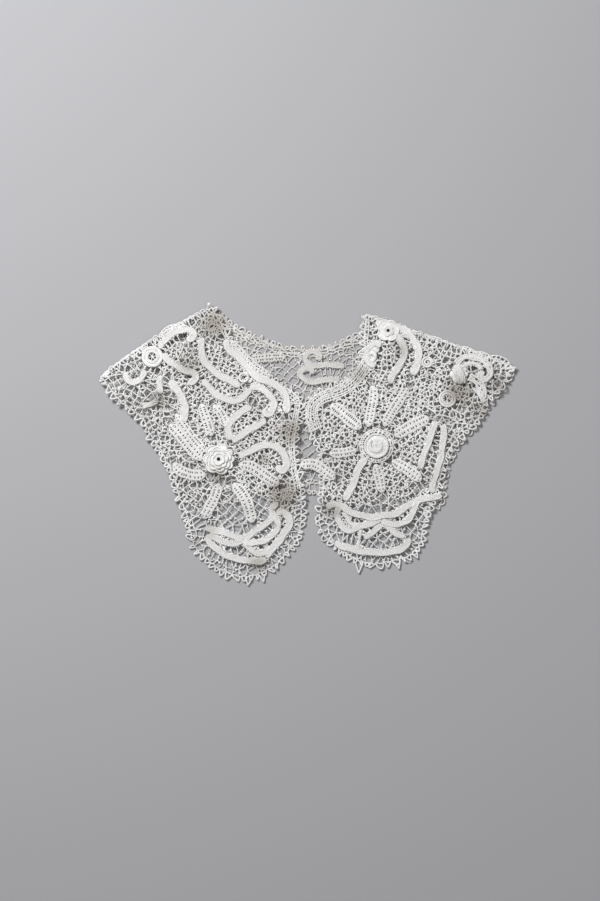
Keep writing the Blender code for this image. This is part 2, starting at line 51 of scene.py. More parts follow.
Row = namedtuple("Row", "inner_x inner_y outer_x outer_y bow")
Fold = namedtuple("Fold", "x y angle length width height")
Band = namedtuple("Band", "width points")
Disc = namedtuple("Disc", "name x y radius kind")
Spot = namedtuple("Spot", "x y radius strength")
Spike = namedtuple("Spike", "side x y angle length width tip")
Arch = namedtuple("Arch", "side x y to_x to_y reach")
Patch = namedtuple("Patch", "side x y radius spacing turn")
Dense = namedtuple("Dense", "start stop rows pitch")
Ground = namedtuple("Ground", "spacing sides swell picot_share")
PicotKind = namedtuple("PicotKind", "share width reach power fat")
Petals = namedtuple("Petals", "size hole lobes level turn")

# Steps along and across a panel, from which its edges and its fold are read
GRID_ROWS = 90
GRID_COLUMNS = 24

# Each row of a front runs from its neck or centre edge to its outer edge, at the picots'
# tips. The first row is the shoulder fold, the last the bottom of the lobe. bow is how
# far the row's middle is carried towards the lobe.
LEFT_ROWS = (
    Row(-83.5, 118.5, -180.0, 58.0, -3.5),
    Row(-69.0, 99.5, -165.5, 34.5, -1.0),
    Row(-57.5, 82.0, -148.0, 19.5, 1.5),
    Row(-43.5, 65.0, -137.5, 0.5, 3.5),
    Row(-23.5, 54.5, -128.0, -15.0, 5.0),
    Row(-4.5, 41.0, -121.0, -28.5, 5.0),
    Row(-5.5, 22.5, -116.5, -45.5, 5.0),
    Row(-8.5, 3.0, -110.5, -59.5, 3.5),
    Row(-7.0, -16.0, -106.0, -78.0, 2.0),
    Row(-3.5, -33.5, -101.5, -93.5, 2.5),
    Row(-1.5, -52.0, -90.5, -103.0, 5.0),
    Row(-2.5, -68.5, -80.0, -112.0, 6.0),
    Row(-7.0, -84.0, -68.0, -117.0, 4.5),
    Row(-15.0, -98.0, -55.5, -121.5, 5.0),
)
RIGHT_ROWS = (
    Row(50.5, 111.8, 177.2, 67.6, -0.4),
    Row(46.0, 90.0, 171.0, 48.5, 0.0),
    Row(43.5, 74.5, 158.5, 34.5, 1.5),
    Row(29.0, 55.0, 150.5, 18.5, 3.5),
    Row(5.5, 45.0, 134.0, 2.0, 5.0),
    Row(-4.5, 33.0, 124.5, -11.5, 5.0),
    Row(-3.0, 15.5, 120.0, -25.5, 5.0),
    Row(6.0, -2.0, 117.5, -38.5, 3.5),
    Row(8.0, -18.5, 113.0, -49.0, 2.0),
    Row(9.5, -34.5, 108.0, -61.5, 2.5),
    Row(8.0, -49.0, 104.5, -73.5, 4.0),
    Row(5.5, -66.5, 102.5, -86.5, 6.0),
    Row(10.5, -79.5, 93.0, -98.0, 6.5),
    Row(20.0, -92.0, 82.0, -106.0, 9.0),
)
# Each row of the back runs from its neck edge to its hem, from one shoulder to the other.
BACK_ROWS = (
    Row(-81.5, 115.5, -177.5, 54.5, -3.5),
    Row(-75.0, 114.0, -158.5, 31.0, 0.0),
    Row(-65.0, 107.5, -141.0, 12.0, 0.0),
    Row(-54.0, 100.5, -126.0, -12.5, 0.0),
    Row(-42.0, 95.0, -115.0, -35.0, 0.0),
    Row(-29.0, 90.3, -106.0, -52.0, 0.0),
    Row(-20.0, 86.5, -81.0, -55.0, 0.0),
    Row(-12.0, 85.5, -50.0, -49.0, 0.0),
    Row(-3.5, 85.5, -20.0, -44.0, 0.0),
    Row(6.0, 85.5, 8.5, -46.5, 0.0),
    Row(15.0, 86.5, 36.5, -51.0, 0.0),
    Row(22.5, 89.0, 67.0, -56.0, 0.0),
    Row(30.5, 92.5, 97.5, -59.5, 0.0),
    Row(36.5, 95.5, 117.0, -57.0, 0.0),
    Row(41.0, 98.0, 121.5, -33.0, 0.0),
    Row(44.5, 102.0, 129.0, -10.5, 0.0),
    Row(47.0, 105.5, 147.5, 13.5, 0.0),
    Row(48.5, 107.0, 162.5, 36.0, 0.0),
    Row(49.5, 108.0, 178.5, 62.5, 2.5),
)

# Soft ridges where the doubled lace stands up from the surface
FOLDS = (
    Fold(-90.0, 98.0, 25.0, 30.0, 20.0, 2.2),
    Fold(-122.0, 70.0, 32.0, 55.0, 21.0, 2.2),
    Fold(-150.0, 42.0, -38.0, 30.0, 19.0, 1.4),
    Fold(-20.0, 12.0, -28.0, 30.0, 20.0, 2.4),
    Fold(-22.0, -42.0, 28.0, 30.0, 21.0, 2.2),
    Fold(-72.0, -22.0, 10.0, 30.0, 21.0, 1.6),
    Fold(-62.0, -86.0, -20.0, 42.0, 20.0, 1.6),
    Fold(74.0, 86.0, -20.0, 40.0, 20.0, 2.2),
    Fold(132.0, 56.0, -22.0, 42.0, 21.0, 2.6),
    Fold(60.0, 0.0, 12.0, 38.0, 25.0, 1.6),
    Fold(104.0, -8.0, 74.0, 42.0, 19.0, 2.0),
    Fold(40.0, -58.0, -18.0, 30.0, 20.0, 2.0),
    Fold(66.0, -84.0, 4.0, 44.0, 20.0, 1.4),
)

# A band is a smooth curve through its points, of that width
LEFT_BANDS = (
    Band(6.5, ((-129.5, 83), (-122.5, 91.5), (-115.5, 96.5), (-107.5, 99), (-101.5, 98), (-99, 94),
               (-101.5, 90.5), (-105.5, 91))),
    Band(6.5, ((-126, 78), (-121, 72), (-114, 67), (-106, 63), (-100, 61.5), (-97, 57), (-100, 53),
               (-104.5, 53.5))),
    Band(5.7, ((-141, 63.5), (-145, 56), (-151, 53), (-156.5, 55.5), (-159, 62))),
    Band(5.7, ((-128.5, 59), (-128.5, 51.5), (-128, 43))),
    Band(7.8, ((-119.5, 55), (-115.5, 48.5), (-111, 43), (-107.5, 34.5), (-107, 18.5))),
    Band(4.8, ((-143.5, 32), (-137.5, 34), (-131, 37))),
    Band(7.0, ((-91.5, 92), (-92.5, 81.5), (-89.5, 71), (-82, 63), (-74.5, 58), (-65, 53),
               (-58.5, 50.5))),
    Band(7.4, ((-72, 90), (-68, 81.5), (-60.5, 75), (-53.5, 67.5), (-47.5, 60.5), (-39, 55),
               (-27, 50.5), (-20, 42.5), (-18, 34.5), (-19.5, 26.5))),
    Band(6.5, ((-50.5, 49.5), (-39.5, 47.5), (-32.5, 41), (-29.5, 33.5), (-32, 26.5), (-36.5, 26),
               (-38.5, 30))),
    Band(6.5, ((-91.5, 55.5), (-84.5, 47), (-77, 41), (-67.5, 37), (-59, 38.5), (-53.5, 43),
               (-50.5, 48))),
    Band(7.0, ((-67.5, 3), (-69, 13), (-64.5, 22), (-56, 28.5), (-49, 32))),
    Band(7.0, ((-65.5, 1.5), (-55, 9.5), (-44.5, 15.5), (-36.5, 20.5))),
    Band(7.0, ((-60, -11.5), (-48.5, -5.5), (-35.5, -1), (-25.5, -4.5), (-19.5, -11.5),
               (-18.5, -19.5), (-23, -23.5), (-27.5, -19.5))),
    Band(7.4, ((-27.5, -61), (-22, -59), (-17.5, -63), (-16, -68.5), (-17.5, -74), (-22, -80),
               (-27.5, -87.5), (-32, -93), (-37, -98.5))),
    Band(6.5, ((-37, -99), (-41.5, -103), (-49, -102), (-61, -100.5), (-71, -97), (-78.5, -92.5),
               (-85, -86), (-88, -79.5))),
    Band(6.5, ((-89.5, -73), (-78.5, -76), (-68, -79), (-55.5, -83.5))),
    Band(6.1, ((-55.5, -83.5), (-43, -74), (-33.5, -67.5), (-29.5, -63.5))),
    Band(6.1, ((-55.5, -83.5), (-50.5, -86.5), (-41.5, -85.5), (-33.5, -81.5), (-27.5, -75.5),
               (-26, -69), (-28.5, -63.5), (-31.5, -57), (-26, -51))),
    Band(6.1, ((-55.5, -83.5), (-50.5, -91.5), (-44, -95.5), (-37.5, -94), (-33, -89))),
    Band(5.7, ((-55.5, -84), (-64.5, -87), (-74, -85.5), (-80.5, -82), (-85.5, -78))),
)
RIGHT_BANDS = (
    Band(7.4, ((58.5, 104.5), (65.5, 104.5), (74, 102), (83.5, 98.5), (90.5, 92), (95.5, 82),
               (96, 73.5), (94, 66), (89.5, 60.5))),
    Band(7.0, ((73.5, 95), (79.5, 90.5), (83.5, 82), (82.5, 73.5), (78, 66), (74, 60.5),
               (71.5, 52))),
    Band(6.1, ((63.5, 84.5), (58, 87), (52, 83), (50.5, 76.5), (53, 70), (58.5, 67))),
    Band(6.5, ((116.5, -45.5), (106, -47), (96.5, -49), (88.5, -52.5), (82, -57.5), (74.5, -61.5),
               (66, -62.5), (54, -64), (42.5, -61.5), (33.5, -57.5), (28, -53.5), (21.5, -52.5),
               (16.5, -56.5))),
    Band(6.1, ((28, -54.5), (25.5, -59.5), (26.5, -67), (31, -73.5), (37.5, -75.5), (45.5, -72),
               (54, -69.5), (63.5, -66.5))),
    Band(6.1, ((63.5, -67.5), (70, -69), (78, -70.5), (86, -67), (90, -61.5), (93, -56),
               (95, -49.5))),
    Band(5.7, ((64.5, -70), (60, -73.5), (55, -78.5), (48.5, -82))),
    Band(5.7, ((66, -69), (71.5, -74), (76.5, -78), (84.5, -81.5))),
    Band(7.0, ((24, -85), (28.5, -88.5), (36, -91), (45.5, -93.5), (58, -94.5), (70, -94.5),
               (79.5, -92), (86, -87.5), (88, -82))),
    Band(4.4, ((33, -58.5), (34, -64), (36.5, -69.5), (43.5, -72))),
    Band(7.0, ((50, -12.5), (44.5, -21), (40, -33.5), (35, -43.5), (31, -49))),
    Band(6.1, ((111, 19.5), (105, 2), (99.5, -12.5), (97, -22))),
    Band(6.1, ((118, 17), (117.5, 2), (114.5, -15.5), (109, -33.5), (107.5, -43))),
    Band(5.2, ((128, 69), (136, 75), (145.5, 74.5), (153, 71), (157.5, 65.5), (158.5, 60),
               (154, 56), (149.5, 58), (152, 62.5))),
    Band(3.5, ((132, 66), (139, 69), (147, 68.5), (150.5, 64))),
    Band(5.2, ((144, 48.5), (149.5, 43), (153, 35.5))),
    Band(2.2, ((46, -74.5), (44.5, -84), (42.5, -93.5))),
)
# Cords whose strands lie apart, with gaps between them
OPEN_CORDS = (RIGHT_BANDS[13], RIGHT_BANDS[15], LEFT_BANDS[5])
BACK_BANDS = (
    Band(5.7, ((32, 67), (18, 68.5), (9.5, 67.5), (1, 69), (-3, 73.5), (-1, 78), (5.5, 80),
               (10.5, 76.5), (9, 72))),
    Band(5.7, ((28, 56), (15, 55), (3, 53.5), (-4.5, 56.5), (-7, 61), (-3, 65), (2.5, 64.5),
               (5, 60.5))),
)
LEFT_OPENWORK = (
    Band(9.6, ((-116.5, -17), (-111, -23.5), (-99.5, -27.5), (-88.5, -27))),
    Band(9.1, ((-77.5, -34.5), (-80.5, -45.5), (-85.5, -55), (-91, -65.5))),
    Band(10.0, ((-65, -35), (-57, -43.5), (-51.5, -55), (-48.5, -69))),
    Band(10.0, ((-60, -18.5), (-48.5, -20.5), (-38, -27.5), (-25, -36))),
    Band(9.6, ((-120, 16.5), (-111, 7), (-102, -4), (-92, -14.5))),
    Band(7.4, ((-115, 25.5), (-107, 14.5), (-97.5, 2), (-88.5, -7.5))),
    Band(8.7, ((-93, 34.5), (-88.5, 21.5), (-83.5, 6.5))),
    Band(7.8, ((-82, 33.5), (-75, 25), (-71.5, 14.5))),
    Band(7.0, ((-66.5, 89.5), (-60, 80.5), (-52.5, 73), (-44, 65), (-32, 58))),
)
RIGHT_OPENWORK = (
    Band(8.3, ((52, 14.5), (54.5, 27.5), (57, 41.5), (55.5, 50))),
    Band(8.7, ((66, 15), (73, 27.5), (81, 39.5), (86.5, 48.5))),
    Band(10.4, ((75.5, 6.5), (88.5, 14.5), (105, 22.5))),
    Band(10.9, ((46, 13), (35, 22), (20, 34))),
    Band(8.3, ((42.5, -5.5), (30.5, -8), (18.5, -8.5))),
    Band(9.1, ((-7, -18.5), (4.5, -18), (13.5, -23), (23.5, -31))),
    Band(8.7, ((58.5, -18), (62, -30), (64.5, -43))),
    Band(9.6, ((73, -15), (87, -23), (98.5, -32.5))),
    Band(7.4, ((140, 58.5), (147.5, 53), (152, 46), (151.5, 39.5))),
)
SOLID_LEAF = RIGHT_OPENWORK[8]
BACK_OPENWORK = (
    Band(7.4, ((-50.5, 73), (-35.5, 74.5), (-19, 75.5))),
)

# Discs are placed as their solids are
LEFT_DISCS = (
    Disc("rose_left", -77.5, -13.5, 13.4, "rose"),
    Disc("wheel_left", -135.0, 75.3, 9.2, "wheel"),
    Disc("ring_left", -55.8, 57.4, 4.6, "ring"),
)
RIGHT_DISCS = (
    Disc("medallion_right", 59.5, -2.0, 15.0, "medallion"),
    Disc("flower_right", 69.5, 98.0, 9.6, "flower"),
    Disc("rosette_right", 55.0, 76.5, 6.6, "curl"),
    Disc("bud_right", 103.5, 70.0, 5.6, "bud"),
    Disc("rose_right", 131.0, 60.0, 8.2, "lump"),
    Disc("ring_right", 121.0, 39.0, 7.6, "ring"),
)

# Walls, levels and edges of the solids
WALL = 1.4
LAYER_GAP = 0.5
UPPER_LEVEL = WALL + LAYER_GAP
PICOT_REACH = 4.0
FOLD_ROLL = 3.2
FOLD_LOW = 0.72
TRIM_SHARE = 0.1
END_SHARE = 0.07
DROP_START = 6.5
DROP_LENGTH = 12.0
MIDDLE = (0.18, -0.36)

SEED = 11

# Threads of the ground. Its bars are tied to edges and motifs at even distances.
BAR_RADIUS = 0.6
BAR_LENGTHS = (1.0, 13.0)
BAR_BOW = 0.45
KNOT_RADIUS = 0.92
STITCH = 1.25
EDGE_TIES = 4.8
MOTIF_TIES = 4.2
TRY_AREA = 1.2
DIAMOND_CLEAR = 2.8
# The chance that two triangles beside each other lose the side between them, where it runs
# between two motifs and elsewhere
MOTIF_PAIRS = 0.55
FREE_PAIRS = 0.93
# How a panel's ground is worked: the distance between its crossings, the sides of a bar's
# tube, how thick a bar is from end to end, and the share of bars with a small picot
FRONT_GROUND = Ground(3.6, 5, (1.25, 0.95, 1.12, 0.95, 1.25), 0.6)
BACK_GROUND = Ground(4.1, 4, (1.2, 1.0, 1.0, 1.2), 0.3)
GROUNDS = {"left": FRONT_GROUND, "right": FRONT_GROUND, "back": BACK_GROUND}
# How far a thread of a rolled fold lies in from the fold, from the front round to the back
ROLL_IN = (3.4, 1.2, -0.35, 0.9, 3.2)
ROLL_PITCH = 2.9
ARCH_POINTS = 17
LOOP_POINTS = 7

# Edges. A picot is an open arch, pulled to a point, or closed to a knob.
PICOT_KINDS = (
    PicotKind(0.42, 4.9, 0.85, 2.8, 0.0),
    PicotKind(0.24, 5.0, 1.05, 1.6, 0.22),
    PicotKind(0.34, 2.2, 0.85, 2.4, 0.3),
)
PICOT_PITCH = 6.0
PICOT_RADIUS = 0.8
PICOT_POINTS = 13
BACK_PICOTS = 0.82
EDGE_ROWS = 2.7
EDGE_PITCH = 6.0
DENSE_PITCH = 2.6
BACK_NECK_ROUNDS = 3

# Worked motifs
CORD_HEIGHT = 1.5
CORD_SHARE = 0.84
CORD_STITCH = 1.35
WIDE_CORD = 2.2
LEAF_CELL = 2.7
MOTIF_REST = 0.5
# Each of three cords beside each other lies a little higher than the one before
CORD_STEP = 0.22
OPEN_CORD_SHARE = 1.15
SOLID_LEAF_SHARE = 0.46
CROSS_STITCHES = 0.42
SMALL_STITCH = 1.4
# How high a band's stitches stand across it, from one side to the other: a wide one as two
# strands, each with a shallow line along it, and a narrow one as a single strand
TWO_STRANDS = np.array([0.0, 0.58, 0.84, 0.9, 0.55, 0.95, 0.4, 1.0, 0.6, 0.92, 0.86, 0.6, 0.0])
ONE_STRAND = np.sin(np.linspace(0, math.pi, len(TWO_STRANDS))) ** 0.52
# A leaf's lines across it, their heights, and the two columns that have pin holes
LEAF_PLACES = np.array([-1, -0.84, -0.6, -0.26, 0.0, 0.26, 0.6, 0.84, 1])
LEAF_HEIGHTS = np.array([0.45, 0.95, 0.8, 0.8, 1.15, 0.8, 0.8, 0.95, 0.45])
PIN_COLUMNS = (2, 5)
# From a cell of a leaf to the four beside it, down and over, and the side that lies that way
BESIDE = ((-1, 0, 0), (1, 0, 2), (0, -1, 3), (0, 1, 1))
THREAD_LIFT = 0.6
RING_GAP = 2.1
PETAL_POINTS = 9
ROSE_ROUNDS = (
    Petals(1.0, 0.3, 8, 0.8, 0.0),
    Petals(0.8, 0.22, 7, 1.8, 0.4),
    Petals(0.6, 0.16, 6, 2.6, 0.9),
    Petals(0.38, 0.12, 4, 3.2, 0.2),
)

# Cotton: each kind's pale and dull shade, the brown of the stains and painted shadows, and a turn
# of the thread's twist. The motifs' cotton is paler than the ground's, painted light on the raised
# work, and the back's is darker, painted shade on the layer under the fronts.
COTTONS = {
    "under": ((0.78, 0.77, 0.755, 1.0), (0.60, 0.585, 0.56, 1.0)),
    "ground": ((0.87, 0.868, 0.865, 1.0), (0.66, 0.652, 0.64, 1.0)),
    "motif": ((0.93, 0.93, 0.928, 1.0), (0.70, 0.693, 0.68, 1.0)),
}
STAIN_AND_SHADOW_BROWN = (0.39, 0.36, 0.315, 1.0)
STAIN_AND_SHADOW_HEIGHT = 0.004
TWIST = 0.8

# The studio, in metres
FLOOR_SIZE = 30.0
FLOOR_BELOW = 0.0002
FLOOR_COLOUR = (0.38, 0.38, 0.395, 1.0)
LIGHTS = (("key", (-0.75, 0.95, 1.25), 0.5, 33.5), ("fill", (1.0, -0.6, 1.7), 1.6, 7.0))
ROOM_LIGHT = 0.19
LENS = 85.0
CAMERA_PLACE = (-0.0071, -0.0057, 1.851)

# Single picots that stand further out than the rest, each from its root to a round tip
SPIKES = (
    Spike("left", -85.6, 117.2, 96.0, 3.6, 1.4, 1.7),
    Spike("left", -170.5, 60.4, 205.0, 6.4, 1.7, 0.8),
    Spike("right", 171.6, 62.6, 21.0, 9.6, 1.8, 0.8),
    Spike("left", -51.2, -116.5, 262.0, 6.2, 2.9, 1.25),
    Spike("left", -40.0, -114.0, 284.0, 6.0, 2.4, 1.1),
    Spike("right", 92.4, -94.4, 300.0, 5.6, 2.4, 1.1),
    Spike("right", 44.5, -104.5, 268.0, 7.4, 2.9, 1.3),
    Spike("right", 77.5, -102.5, 285.0, 6.0, 2.6, 1.2),
)

# Brown marks, each fading out over its radius: partly stains, and partly painted shadow at the
# folds and under the motifs
STAINS_AND_SHADOWS = (
    Spot(-82.5, 103.0, 19.0, 0.95),
    Spot(-103.0, 68.0, 15.0, 0.55),
    Spot(-130.0, 38.0, 13.0, 0.7),
    Spot(-14.0, 10.5, 19.0, 0.85),
    Spot(-22.0, -45.0, 22.0, 0.95),
    Spot(-43.0, -106.0, 13.0, 0.7),
    Spot(-98.0, -87.0, 10.0, 0.5),
    Spot(-86.0, -76.0, 11.0, 0.5),
    Spot(131.0, 45.0, 19.0, 0.9),
    Spot(151.0, 30.0, 14.0, 0.6),
    Spot(-77.5, -29.0, 12.0, 0.65),
    Spot(-38.0, -14.0, 9.0, 0.6),
    Spot(20.0, -58.0, 13.0, 0.6),
    Spot(45.0, 60.0, 13.0, 0.5),
    Spot(166.0, 51.0, 13.0, 0.65),
    Spot(81.0, 82.0, 11.0, 0.55),
)

# Thin ends that have worked loose, one at the right lobe and one at the right shoulder: each
# one's radius and the points in space that it goes through
LOOSE_THREADS = (
    (0.34, ((76.0, -98.0, 1.0), (81.0, -99.5, 1.6), (85.0, -102.5, 1.2), (90.0, -103.5, 0.6))),
    (0.2, ((61.5, 107.6, 3.0), (65.5, 109.4, 3.4), (70.0, 108.8, 3.2), (73.8, 106.2, 3.0))),
)

# Where the ground stands out past a shoulder fold in an arch, from one point to another
ARCHES = (
    Arch("right", 104.0, 93.2, 119.0, 88.0, 1.8),
    Arch("right", 130.0, 83.6, 146.0, 78.8, 3.0),
    Arch("right", 145.5, 79.0, 158.5, 75.2, 2.6),
    Arch("right", 157.5, 75.6, 176.5, 68.6, 4.6),
    Arch("left", -158.5, 73.6, -142.0, 83.4, 1.9),
    Arch("left", -128.0, 95.5, -114.0, 103.5, 2.6),
)

# Patches of ground with their own spacing. One with a turn is worked in even diamonds, its
# rows turned by that many degrees.
PATCHES = (
    Patch("left", -100.0, 55.0, 34.0, 2.9, None),
    Patch("left", -62.0, 28.0, 42.0, 2.7, None),
    Patch("left", -50.0, -12.0, 34.0, 2.7, None),
    Patch("left", -84.0, 102.5, 9.5, 2.1, None),
    Patch("left", -18.0, 11.0, 9.5, 2.2, None),
    Patch("left", -60.0, -85.0, 42.0, 4.7, None),
    Patch("left", -22.0, -43.0, 11.0, 2.3, None),
    Patch("left", -145.0, 42.0, 30.0, 4.0, None),
    Patch("left", -74.0, -62.0, 22.0, 6.2, 44.0),
    Patch("left", -103.0, -52.0, 14.0, 5.6, 52.0),
    Patch("left", -42.0, -60.0, 12.0, 5.6, 48.0),
    Patch("right", 75.0, 60.0, 45.0, 2.9, None),
    Patch("right", 60.0, 10.0, 50.0, 2.7, None),
    Patch("right", 60.0, -35.0, 40.0, 2.9, None),
    Patch("right", 66.0, -85.0, 40.0, 4.5, None),
    Patch("right", 152.0, 45.0, 28.0, 4.0, None),
    Patch("right", 132.0, 44.0, 11.0, 2.5, None),
    Patch("right", 65.0, -86.0, 13.0, 5.8, 45.0),
    Patch("right", 98.0, -42.0, 10.0, 5.0, 40.0),
    Patch("back", -75.0, 35.0, 58.0, 3.45, None),
    Patch("back", 85.0, 30.0, 58.0, 3.45, None),
    Patch("back", 0.0, -2.0, 19.0, 6.6, 40.0),
    Patch("back", -22.0, 66.0, 18.0, 6.0, 47.0),
    Patch("back", 8.0, 78.0, 16.0, 5.2, None),
    Patch("back", -14.0, 30.0, 18.0, 5.2, None),
    Patch("back", -0.5, 33.5, 8.0, 2.5, None),
    Patch("back", -49.0, 84.5, 12.0, 4.3, 8.0),
)
# Rows of close stitches along the inner edge of each front, from a row of its grid to another
DENSE_EDGE = {"left": (Dense(2, 27, 2, 2.5), Dense(27, 64, 3, 2.1)),
              "right": (Dense(2, 9, 2, 2.5), Dense(9, 44, 6, 1.9))}


def smooth_row(rows, place):
    """The table's row at a place between 0 and 1, on a smooth curve through its rows."""
    table = np.array(rows)
    at = place * (len(table) - 1)
    k = min(int(at), len(table) - 2)
    t = at - k
    before, after = table[max(k - 1, 0)], table[min(k + 2, len(table) - 1)]
    a, b = table[k], table[k + 1]
    return 0.5 * (
        2 * a + (b - before) * t + (2 * before - 5 * a + 4 * b - after) * t * t
        + (3 * a - before - 3 * b + after) * t ** 3
    )


def panel_row(rows, place, closed_end, shares):
    """One row of a panel in plan, inside the picots. A closed end is a front's lobe."""
    row = Row(*smooth_row(rows, place))
    ahead = Row(*smooth_row(rows, min(place + 0.02, 1.0)))
    behind = Row(*smooth_row(rows, max(place - 0.02, 0.0)))
    onward = np.array([ahead.inner_x + ahead.outer_x - behind.inner_x - behind.outer_x,
                       ahead.inner_y + ahead.outer_y - behind.inner_y - behind.outer_y])
    onward /= np.linalg.norm(onward)
    inner = np.array([row.inner_x, row.inner_y])
    outer = np.array([row.outer_x, row.outer_y])
    along = (outer - inner) / np.linalg.norm(outer - inner)
    from_fold = min(1.0, place / TRIM_SHARE)
    if not closed_end:
        from_fold = min(from_fold, (1 - place) / TRIM_SHARE)
    inner = inner + along * PICOT_REACH * from_fold
    outer = outer - along * PICOT_REACH * from_fold
    back_off = (PICOT_REACH if closed_end else 0.0) * max(0.0, 1 - (1 - place) / END_SHARE)
    share = shares[:, None]
    return (inner + (outer - inner) * share
            + onward * (row.bow * 4 * share * (1 - share) - back_off))


def panel_grid(rows, closed_end):
    """A panel in plan as a grid of points, row by row."""
    places = np.linspace(0, 1, GRID_ROWS)
    shares = np.linspace(0, 1, GRID_COLUMNS + 1)
    return np.array([panel_row(rows, place, closed_end, shares) for place in places])


def border(grid):
    """The grid's border in plan, once round."""
    return np.concatenate([grid[:, 0], grid[-1, 1:], grid[-2::-1, -1], grid[0, -2:0:-1]])


def line_distance(points, line):
    """How far each point lies from a line of points."""
    nearest = np.full(len(points), 1e9)
    for a, b in zip(line[:-1], line[1:]):
        edge = b - a
        share = np.clip((points - a) @ edge / max(edge @ edge, 1e-9), 0, 1)
        nearest = np.minimum(nearest, np.linalg.norm(points - a - share[:, None] * edge, axis=1))
    return nearest


def inside(points, loop):
    """Which of the points lie inside a loop in plan."""
    odd = np.zeros(len(points), bool)
    for a, b in zip(loop, np.roll(loop, -1, axis=0)):
        if a[1] == b[1]:
            continue
        passed = (a[1] > points[:, 1]) != (b[1] > points[:, 1])
        crossing = a[0] + (points[:, 1] - a[1]) * (b[0] - a[0]) / (b[1] - a[1])
        odd ^= passed & (points[:, 0] < crossing)
    return odd


def step_lengths(line):
    """The distances between a line's neighbouring points."""
    return np.linalg.norm(np.diff(line, axis=-2), axis=-1)


def curve(points, step=1.0):
    """A smooth curve in plan through a band's points."""
    count = max(4, round(step_lengths(points).sum() / step))
    return np.array([smooth_row(points, place) for place in np.linspace(0, 1, count + 1)])


def points_at(line, at, along=None):
    """Points of a line at places along it. The places are numbers of its points, or
    lengths when the points' own lengths along it are given."""
    along = np.arange(len(line)) if along is None else along
    return np.stack([np.interp(at, along, column) for column in line.T], axis=1)


def between(a, b, count):
    """Straight lines of so many points from each point of a to its own of b."""
    return a[:, None] + (b - a)[:, None] * np.linspace(0, 1, count)[None, :, None]


def rise(count):
    """A low arch from 0 up to 1 and back to 0."""
    share = np.linspace(0, 1, count)
    return 4 * share * (1 - share)


def left_of(way):
    """Directions in plan, each turned a quarter to the left."""
    return np.stack([-way[..., 1], way[..., 0]], axis=-1)


def resampled(line, pitch, closed=False):
    """A line of points at an even pitch, in plan or in space."""
    if closed:
        line = np.concatenate([line, line[:1]])
    length = np.concatenate([[0], np.cumsum(step_lengths(line))])
    count = max(2, round(length[-1] / pitch))
    points = points_at(line, np.linspace(0, length[-1], count + 1), length)
    return points[:-1] if closed else points


def side_of(path, closed=False):
    """The direction to the left of a path in plan at each of its points."""
    if closed:
        heading = np.roll(path, -1, axis=0) - np.roll(path, 1, axis=0)
    else:
        heading = np.gradient(path, axis=0)
    return left_of(heading[:, :2] / np.linalg.norm(heading[:, :2], axis=1)[:, None])


# How the panels lie
LEFT_GRID = panel_grid(LEFT_ROWS, True)
RIGHT_GRID = panel_grid(RIGHT_ROWS, True)
BACK_BORDER = border(panel_grid(BACK_ROWS, False))
FOLD_LINES = {"left": LEFT_GRID[0], "right": RIGHT_GRID[0]}


def ridge_height(points):
    """How far the soft folds raise the lace."""
    height = np.zeros(len(points))
    for fold in FOLDS:
        turn = math.radians(fold.angle)
        dx, dy = points[:, 0] - fold.x, points[:, 1] - fold.y
        along = dx * math.cos(turn) + dy * math.sin(turn)
        across = dy * math.cos(turn) - dx * math.sin(turn)
        height += fold.height * np.exp(-(along / fold.length) ** 2 - (across / fold.width) ** 2)
    return height


def front_height(points, side):
    """Middle of a front's wall: on the back, down to the surface past its hem, and
    rolled over at the shoulder fold."""
    points = np.asarray(points)[:, :2]
    past = line_distance(points, np.concatenate([BACK_BORDER, BACK_BORDER[:1]]))
    past[inside(points, BACK_BORDER)] = 0.0
    drop = np.clip((past - DROP_START) / DROP_LENGTH, 0, 1)
    top = WALL / 2 + UPPER_LEVEL * (1 - drop * drop * (3 - 2 * drop)) + ridge_height(points)
    off = np.clip(line_distance(points, FOLD_LINES[side]) / FOLD_ROLL, 0, 1)
    return FOLD_LOW + (top - FOLD_LOW) * np.sqrt(1 - (1 - off) ** 2)


def raised(path, side, lift=0.0):
    """A path in plan laid on its panel's middle, lift above it."""
    path = np.asarray(path)[:, :2]
    height = np.full(len(path), WALL / 2) if side == "back" else front_height(path, side)
    return np.column_stack([path, height + lift])


